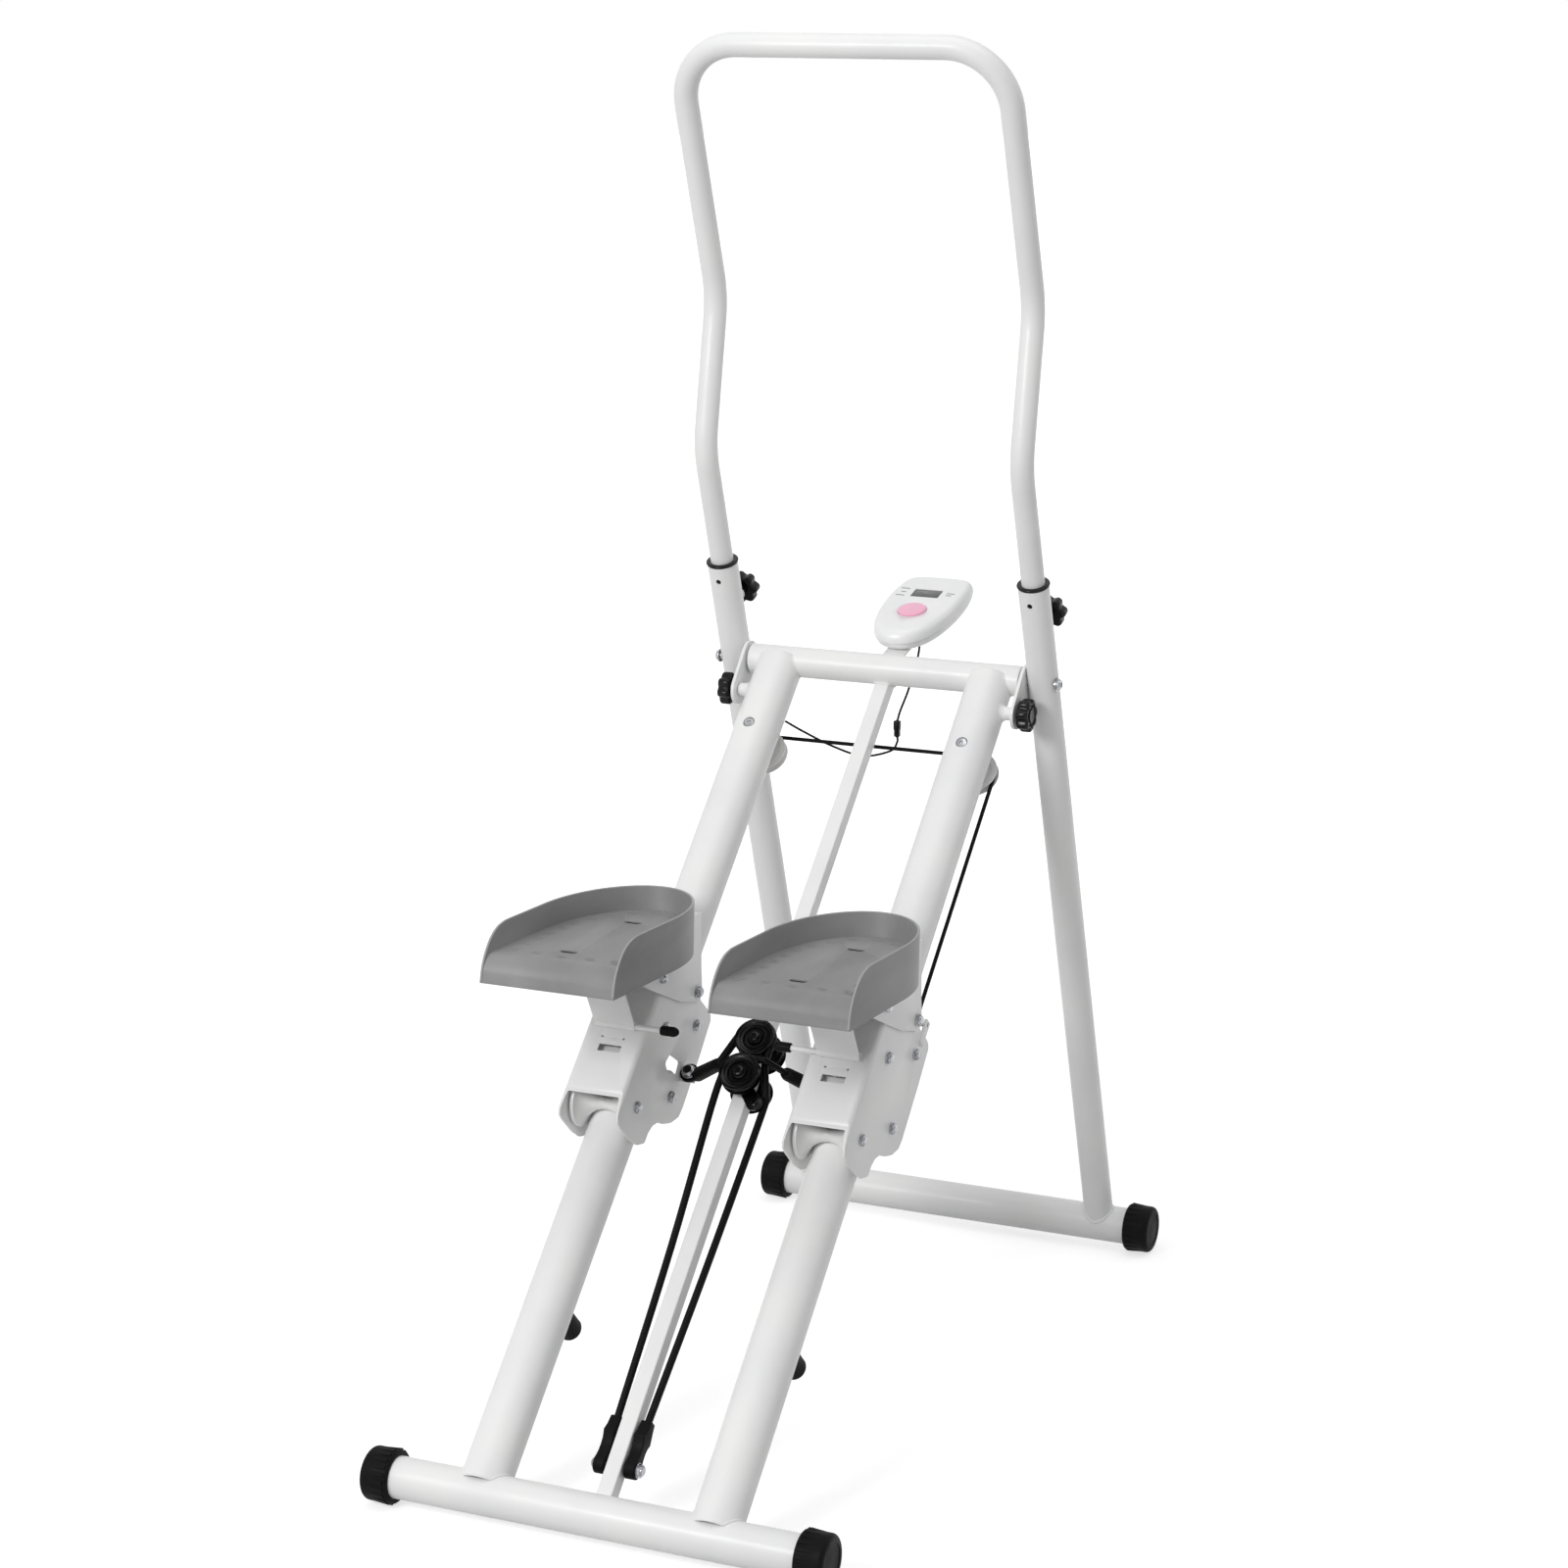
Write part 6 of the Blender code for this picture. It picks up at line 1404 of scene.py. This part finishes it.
def ropes():
    """The rope's fixed run over both guide pulleys, and its two runs down to the carriages' pins."""
    curves = []
    for side, start in ((-1, 180), (1, 90)):
        curve = arc((side * RAIL_X, GUIDE_ALONG), GUIDE_ROPE_RADIUS, start, start - 90, 24)
        curves.append([Vector((x, along, GUIDE_NORMAL)) for x, along in curve])
    last = curves[0][-1]
    across = straight(last, Vector((RAIL_X, last.y, GUIDE_NORMAL)), 30)[1:-1]
    rope = cord_mesh(curves[0] + across + curves[1], ROPE_RADIUS)
    dressed("rope_cross", rope, RAIL, ROPE, "front_frame")
    for side_name, side in SIDES:
        name, carriage = f"rope_{side_name}", f"carriage_{side_name}"
        x = side * (RAIL_X + GUIDE_ROPE_RADIUS)
        low = Vector((x, ROPE_PIN_ALONG - 0.006, GUIDE_NORMAL))
        high = Vector((x, GUIDE_ALONG, GUIDE_NORMAL))
        run = dressed(name, cord_mesh(straight(low, high, 60), ROPE_RADIUS), RAIL, ROPE, None)
        start = RAIL @ Vector((x, ROPE_PIN_ALONG + 0.01, GUIDE_NORMAL))
        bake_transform(run)
        ferrule = [(-0.011, 0), (-0.011, 0.0036), (-0.0104, 0.0042)]
        ferrule += [(0.0098, 0.0042), (0.011, 0.0036), (0.011, 0)]
        body = turned(ferrule, (x, ROPE_PIN_ALONG + 0.003, GUIDE_NORMAL), ALONG, 32)
        make_piece(f"rope_end_{side_name}", body, RAIL, BLACK_NYLON, carriage)


def band_section():
    """A band pulley's section: rims round a cord groove, a dished web with a raised ring, and a hub."""
    half = BAND_PULLEY_HALF
    rim = BAND_PULLEY_RADIUS
    face = [(half - 0.0004, rim), (half, rim - 0.0006), (half, rim - 0.0022)]
    face += [(half - 0.0006, rim - 0.003), (half - 0.0032, rim - 0.0052)]
    face += [(half - 0.0038, 0.016), (half - 0.0034, 0.0155), (half - 0.002, 0.015), (half - 0.002, 0.0138)]
    face += [(half - 0.0036, 0.013), (half - 0.0038, 0.0102), (half - 0.0006, 0.0088), (half, 0.0082)]
    face += [(half, 0.005), (half - 0.0006, BOLT_BORE)]
    return sheave_section(face, rim, rim - BAND_WRAP_RADIUS + BAND_RADIUS + 0.0005, BAND_RADIUS + 0.0015, 20)


def band_pulleys():
    """Two pulleys behind the bar, with their washers and screw heads, and the two before it."""
    back = BAR_NORMAL - BAR_HALF
    normal = back - 0.0008 - BAND_PULLEY_HALF
    end = normal - BAND_PULLEY_HALF - 0.003
    profile = [(end, 0), (end + 0.0004, 0.005), (end + 0.0016, 0.0066), (end + 0.003, HEAD_RADIUS)]
    profile += [(back, HEAD_RADIUS), (back, 0)]
    shapes = []
    for _, along, _ in BAND_PULLEYS:
        shapes.append(turned(band_section(), (0, along, normal), sides=96))
        shapes.append(turned(profile, (0, along, 0), sides=40))
    make_piece("rear_sheaves", merged(shapes), RAIL, BLACK_NYLON, "front_frame")
    for name, along, normal in BAND_PULLEYS:
        dressed(name, turned(band_section(), (0, along, normal), sides=96), RAIL, BLACK_NYLON, name)


def pulley_bracket():
    """The plate on the bar's front with both axles, their screw heads, and the side lobe with its rivet."""
    back = BAR_NORMAL + BAR_HALF + GAP
    front = back + 0.0024
    shapes = []
    for _, along, normal in BAND_PULLEYS:
        seat = normal - BAND_PULLEY_HALF - GAP
        head = normal + BAND_PULLEY_HALF + GAP
        profile = [(back + 0.001, 0), (back + 0.001, HEAD_RADIUS), (seat, 0.0066), (seat, AXLE_RADIUS)]
        profile += [(head, AXLE_RADIUS), (head, 0.0066), (head + 0.0006, HEAD_RADIUS)]
        profile += rounding(head + 0.0006, 0, HEAD_RADIUS, 5, 60, 6, 0.0022)
        profile += [(head + 0.0024, 0.0028), (head + 0.0014, 0.0024), (head + 0.0014, 0)]
        shapes.append(turned(profile, (0, along, 0), sides=48))
    discs = [rod_z(0, along, back, front, 0.011) for _, along, _ in BAND_PULLEYS]
    lobe = [rod_z(*LOBE, back, front, 0.01), rod_z(0, BAND_LOWER_ALONG - 0.005, back, front, 0.008)]
    shapes += [shaped(hull(discs), edge=0.0006), shaped(hull(lobe), edge=0.0006)]
    rivet = [(-0.001, 0), (-0.001, 0.0042), (0, 0.0042), (0.0008, 0.004), (0.0014, 0.003), (0.0016, 0)]
    shapes.append(turned(rivet, (*LOBE, front), sides=32))
    dressed("pulley_bracket", merged(shapes), RAIL, BLACK_NYLON, "front_frame")


def anchor_bolt():
    """The bolt through the bar that holds both bands' lower clips, with a head and a lock nut."""
    seat = 0.0265 + GAP
    nut = Matrix.Translation((seat, *ANCHOR)) @ Matrix.Rotation(math.pi / 2, 4, "Y")
    head = Matrix.Translation((-seat, *ANCHOR)) @ Matrix.Rotation(-math.pi / 2, 4, "Y")
    shapes = [rod_x(-seat, seat, *ANCHOR, AXLE_RADIUS, 32)]
    shapes.append(placed(lock_nut(0.0146, 0.0042, 0.0034, 0.0008), nut))
    shapes.append(placed(button_head(HEAD_RADIUS, 0.005), head))
    dressed("anchor_bolt", merged(shapes), RAIL, ZINC, "front_frame")


def anchor_clip(side):
    """The moulded clip on the anchor bolt: a round eye, a waist and a flared socket for the band."""
    top = CLIP_TOP_ALONG
    edge = [(0.08, -0.0072), (0.088, -0.0068), (0.094, -0.0078), (top - 0.024, -0.012), (top - 0.01, -0.0078)]
    edge += [(top, -0.0056), (top, 0.0056), (top - 0.012, 0.008), (top - 0.021, 0.0124)]
    edge += [(0.096, 0.008), (0.088, 0.0068), (0.08, 0.0072)]
    outline = arc(ANCHOR, 0.0114, 55, 305, 32) + [(along, BAR_NORMAL + normal) for along, normal in edge]
    eye = rod_x(-0.1, 0.1, *ANCHOR, BOLT_BORE, 32)
    return shaped(extruded(outline, *span_from(0, side, 0.0125, 0.0265)), [eye], edge=0.0014, steps=4)


def carriage_clip(stud_x, neck):
    """The flat clip on a carriage's stud: a round eye, and a tail up to the band, with a small turned stub
    set in it.
    """
    toward = math.copysign(1, neck.x - stud_x)
    low = STUD_SEAT + GAP
    high = low + 0.005
    eye = rod_z(stud_x, STUD_ALONG, low, high, 0.0122, 64)
    hole = rod_z(stud_x, STUD_ALONG, low - 0.01, high + 0.01, BOLT_BORE, 32)
    near_x = stud_x + toward * 0.012
    near = rod_z(near_x, STUD_ALONG, low, high, 0.0092)
    half = Vector((0, 0, 0.0035))
    tip = rod(neck - half, neck + half, BAND_RADIUS + 0.003, 32)
    middle = Vector((near_x, STUD_ALONG, (low + high) / 2)).lerp(neck, 0.35) + Vector((0, 0, 0.0052))
    dimple = [(-0.004, 0), (-0.004, 0.0016), (0, 0.0022), (0.0006, 0.0018), (0.0006, 0)]
    tail = shaped(hull([near, tip]), edge=0.001, steps=3)
    return [shaped(eye, [hole], edge=0.001, steps=3), tail, turned(dimple, middle, sides=24)]


def band(side_name, side, pulley_along, plane, last_angle, route, leave):
    """An elastic band from its anchor clip over one pulley to the far carriage's clip, which pulls it out."""
    name = f"band_{side_name}"
    far = "right" if side_name == "left" else "left"
    stud_x = -side * (RAIL_X - STUD_OFFSET)
    neck = Vector((-side * 0.046, STUD_ALONG + 0.001, -0.01))
    leave = Vector(leave)
    wrap = arc((0, pulley_along), BAND_WRAP_RADIUS, 90 - side * 90, last_angle, 12)
    rough = [(side * 0.0195, CLIP_TOP_ALONG - 0.006, BAR_NORMAL), *route]
    rough += [(x, along, plane) for x, along in wrap] + [leave]
    end = [(BAND_RADIUS * up, BAND_RADIUS * across) for across, up in arc((0, 0), 1, -90, 90, 12)]
    end = [(end[0][0], 0)] + end[1:-1] + [(end[-1][0], 0)]
    shapes = [cord_mesh(smooth_path(rough, 6), BAND_RADIUS, 20), turned(end, leave, sides=20)]
    make_piece(f"{name}_lower", merged(shapes), RAIL, LATEX, "front_frame", name)
    span = neck - leave
    facing = span.normalized() + Vector((0, math.copysign(1, span.y + 0.001), 0))
    run = slanted_cord(straight(leave, neck, 40), facing, BAND_RADIUS * 1.12, 20)
    run = make_piece(f"{name}_upper", run, RAIL, LATEX, None, name)
    reach = facing * (span.dot(facing) / facing.length_squared)
    start, end = RAIL @ leave, RAIL @ (leave + reach)
    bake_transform(run)
    make_piece(f"band_clip_{side_name}", anchor_clip(side), RAIL, RUBBER, "front_frame", angle=50)
    make_piece(f"carriage_clip_{far}", merged(carriage_clip(stud_x, neck)), RAIL, RUBBER, f"carriage_{far}")


def bands():
    """Both bands, each with its own route up to its pulley and the point where it leaves it."""
    top = BAND_LOWER_ALONG + BAND_WRAP_RADIUS
    route = [(-0.0205, 0.34, 0), (-BAND_WRAP_RADIUS, 0.52, BAND_LOWER_NORMAL)]
    leave = (0.026, top, BAND_LOWER_NORMAL)
    band("left", -1, BAND_LOWER_ALONG, BAND_LOWER_NORMAL, 88, route, leave)
    route = [(0.0285, 0.34, -0.0085), (0.0312, 0.535, -0.0105), (0.0308, 0.555, -0.006)]
    route += [(0.0275, 0.573, 0.004), (0.0226, 0.59, BAND_UPPER_NORMAL)]
    route.append((BAND_WRAP_RADIUS, 0.604, BAND_UPPER_NORMAL))
    leave = (-0.0215, 0.63, BAND_UPPER_NORMAL)
    band("right", 1, BAND_UPPER_ALONG, BAND_UPPER_NORMAL, 150, route, leave)


def console_plan(scale):
    """The console's plan: a rounded shield, narrow towards the user, on its own face axes."""
    half = [(0, -0.072), (0.02, -0.067), (0.036, -0.048), (0.046, -0.018), (0.0515, 0.02)]
    half += [(0.0525, 0.055), (0.05, 0.088), (0.044, 0.108), (0.03, 0.1155), (0, 0.1165)]
    outline = [Vector(point) for point in half + [(-x, y) for x, y in half[-2:0:-1]]]
    center = Vector((0, 0.025))
    points = []
    for i in range(len(outline)):
        for point in smooth_stretch(*(outline[(i + k) % len(outline)] for k in (-1, 0, 1, 2)), 6):
            spoke = (point - center) * scale
            points.append((CONSOLE_X + spoke.x, center.y + spoke.y))
    return points


def console_skin(levels):
    """A closed skin through (height, scale) levels of the console's plan."""
    return add_rings([[Vector((x, y, level)) for x, y in console_plan(scale)] for level, scale in levels])


def console_piece(name, bm, material, body="front_frame", angle=32):
    dressed(name, bm, CONSOLE, material, body, angle)


def console_shells():
    """The console's two white shells, with the seam between them, the button's well and the display's cut."""
    low = [(0, 0.82), (0.0004, 0.845), (0.002, 0.895), (0.0045, 0.935), (0.0075, 0.962)]
    low += [(0.011, 0.982), (0.0122, 0.985), (0.0128, 0.975)]
    lead_hole = rod_z(0.0228, -0.0405, -0.01, 0.004, 0.0021, 24)
    console_piece("console_base", shaped(console_skin(low), [lead_hole]), WHITE_PLASTIC, angle=40)
    top = [(0.0131, 0.98), (0.0131, 0.99), (0.0136, 0.998), (0.015, 1), (0.019, 0.997)]
    top += [(0.0225, 0.985), (0.0253, 0.965), (0.0274, 0.94), (0.0288, 0.912), (0.0296, 0.88)]
    top += [(0.0299, 0.84), (CONSOLE_HEIGHT, 0.7)]
    well = rod_z(CONSOLE_X, 0, 0.024, 0.05, BUTTON_RADIUS + 0.0004, 96)
    dish = [(0.0294, 0), (0.0294, BUTTON_RADIUS + 0.0012), (0.0304, BUTTON_RADIUS + 0.0024), (0.0304, 0)]
    half_x, half_y = LCD_LENGTH / 2, LCD_WIDTH / 2
    corners = rectangle((CONSOLE_X - half_x, LCD_ALONG - half_y), (CONSOLE_X + half_x, LCD_ALONG + half_y))
    frame_cut = extruded(rounded_outline(corners, 0.0012, 4), 0.027, 0.05, "Z")
    cover = shaped(console_skin(top), [well, turned(dish, (CONSOLE_X, 0, 0), sides=96), frame_cut])
    console_piece("console_cover", cover, WHITE_PLASTIC, angle=40)
    inner = []
    for a, b in corners:
        inner.append((CONSOLE_X + (a - CONSOLE_X) * LCD_FIT, LCD_ALONG + (b - LCD_ALONG) * LCD_FIT))
    window = shaped(extruded(rounded_outline(inner, 0.0011, 4), 0.0276, 0.0292, "Z"), edge=0.0002)
    console_piece("lcd_window", window, DISPLAY)


def console_button():
    """The round pink button, gently domed with a rolled edge."""
    top = CONSOLE_HEIGHT + 0.003
    side = BUTTON_RADIUS - 0.0002
    profile = [(0.0225, 0), (0.0225, side), (top - 0.0018, side)]
    profile += rounding(top - 0.0018, BUTTON_RADIUS - 0.0014, 0.0012, 10, 80, 6)
    profile += [(top - 0.0004, BUTTON_RADIUS - 0.004), (top - 0.0001, 0.009), (top, 0)]
    body = turned(profile, (CONSOLE_X, 0, 0), sides=96)
    console_piece("console_button", body, PINK_PLASTIC, "console_button")


def console_marks():
    """Plain printed dashes beside the display, three to its left and two to its right, with no words."""
    dashes = [(-0.034, 0.0655, 0.012), (-0.033, 0.0545, 0.007), (-0.034, 0.0435, 0.012)]
    dashes += [(0.0325, 0.058, 0.011), (0.0315, 0.052, 0.008)]
    shapes = []
    for x, y, length in dashes:
        low = (CONSOLE_X + x - length / 2, y - 0.0011, 0.0297)
        high = (CONSOLE_X + x + length / 2, y + 0.0011, 0.03006)
        shapes.append(shaped(box(low, high), edge=0.0001, steps=1))
    make_piece("console_marks", merged(shapes), CONSOLE, INK, "front_frame")


def console_tab():
    """The flat tab that carries the console on the cross tube."""
    axis = CONSOLE.inverted() @ Vector((0, HINGE_Y, HINGE_Z))
    tab = box((CONSOLE_X - 0.015, -0.084, -0.0033), (CONSOLE_X + 0.015, 0.03, -GAP))
    seat = rod_x(-0.3, 0.3, axis.y, axis.z, CROSS_RADIUS, 96)
    console_piece("console_bracket", shaped(tab, [seat], edge=0.0007), WHITE_STEEL)


def cables():
    """The console's lead down to its plug and socket, and the sensor's lead on to the left rail."""
    top = Vector(CONNECTOR_TOP)
    bottom = top - Vector((0, 0, CONNECTOR_LENGTH))
    sunk = Vector((0, 0, 0.002))
    lead = [(0.0228, 0.3496, 0.8838), (0.0212, 0.346, 0.8613), (0.013, 0.336, 0.8207), (0.0048, 0.327, 0.792)]
    sensor = [(0.002, 0.3236, 0.75), (-0.006, 0.3185, 0.7385), (-0.039, 0.3045, 0.732)]
    sensor += [(-0.073, 0.2845, 0.746), (-0.105, 0.2605, 0.768), (-0.1235, 0.245, 0.783)]
    for name, route in (("console_cable", [*lead, top - sunk]), ("sensor_cable", [bottom + sunk, *sensor])):
        cord = cord_mesh(smooth_path(route, 12), CABLE_RADIUS, 14)
        dressed(name, cord, WORLD, SHEATH, "front_frame")
    x, y, z = top
    socket = box((x - 0.0042, y - 0.0034, z - 0.013), (x + 0.0042, y + 0.0034, z - 0.001))
    plug = box((x - 0.0036, y - 0.0029, z - 0.022), (x + 0.0036, y + 0.0029, z - 0.01))
    latch = box((x - 0.0016, y - 0.0044, z - 0.019), (x + 0.0016, y - 0.003, z - 0.006))
    shapes = [shaped(socket, edge=0.0005), shaped(plug, edge=0.0005), shaped(latch, edge=0.0003)]
    for start, end in ((z - 0.001, z), (z - 0.0225, z - 0.023)):
        shapes.append(rod_z(x, y, start, end, 0.0022, 24))
    dressed("cable_connector", merged(shapes), WORLD, BLACK_NYLON, "front_frame")


def both_sides(*builders):
    for side_name, side in SIDES:
        for build in builders:
            build(side_name, side)


def end_caps(side_name, side):
    end_cap(f"front_cap_{side_name}", FRONT_BASE_Y, side, "front_frame")
    end_cap(f"rear_cap_{side_name}", REAR_BASE_Y, side, "rear_frame")


base_tube("front_base_tube", FRONT_BASE_Y, "front_frame")
base_tube("rear_base_tube", REAR_BASE_Y, "rear_frame")
cross_tube()
centre_bar()
handlebar()
both_sides(end_caps, rail, stop_buffer, upright, pivot_bolt, bushing, knobs)
both_sides(
    carriage_housing, latch_catch, carriage_fasteners, rollers,
    pedal_bracket, latch_lever, pedal, rim_highlight_bead, slot_shade_plugs,
)
pulley_bracket()
band_pulleys()
anchor_bolt()
ropes()
bands()
console_shells()
console_button()
console_marks()
console_tab()
cables()
both_sides(guide_pulley, guide_bolt)
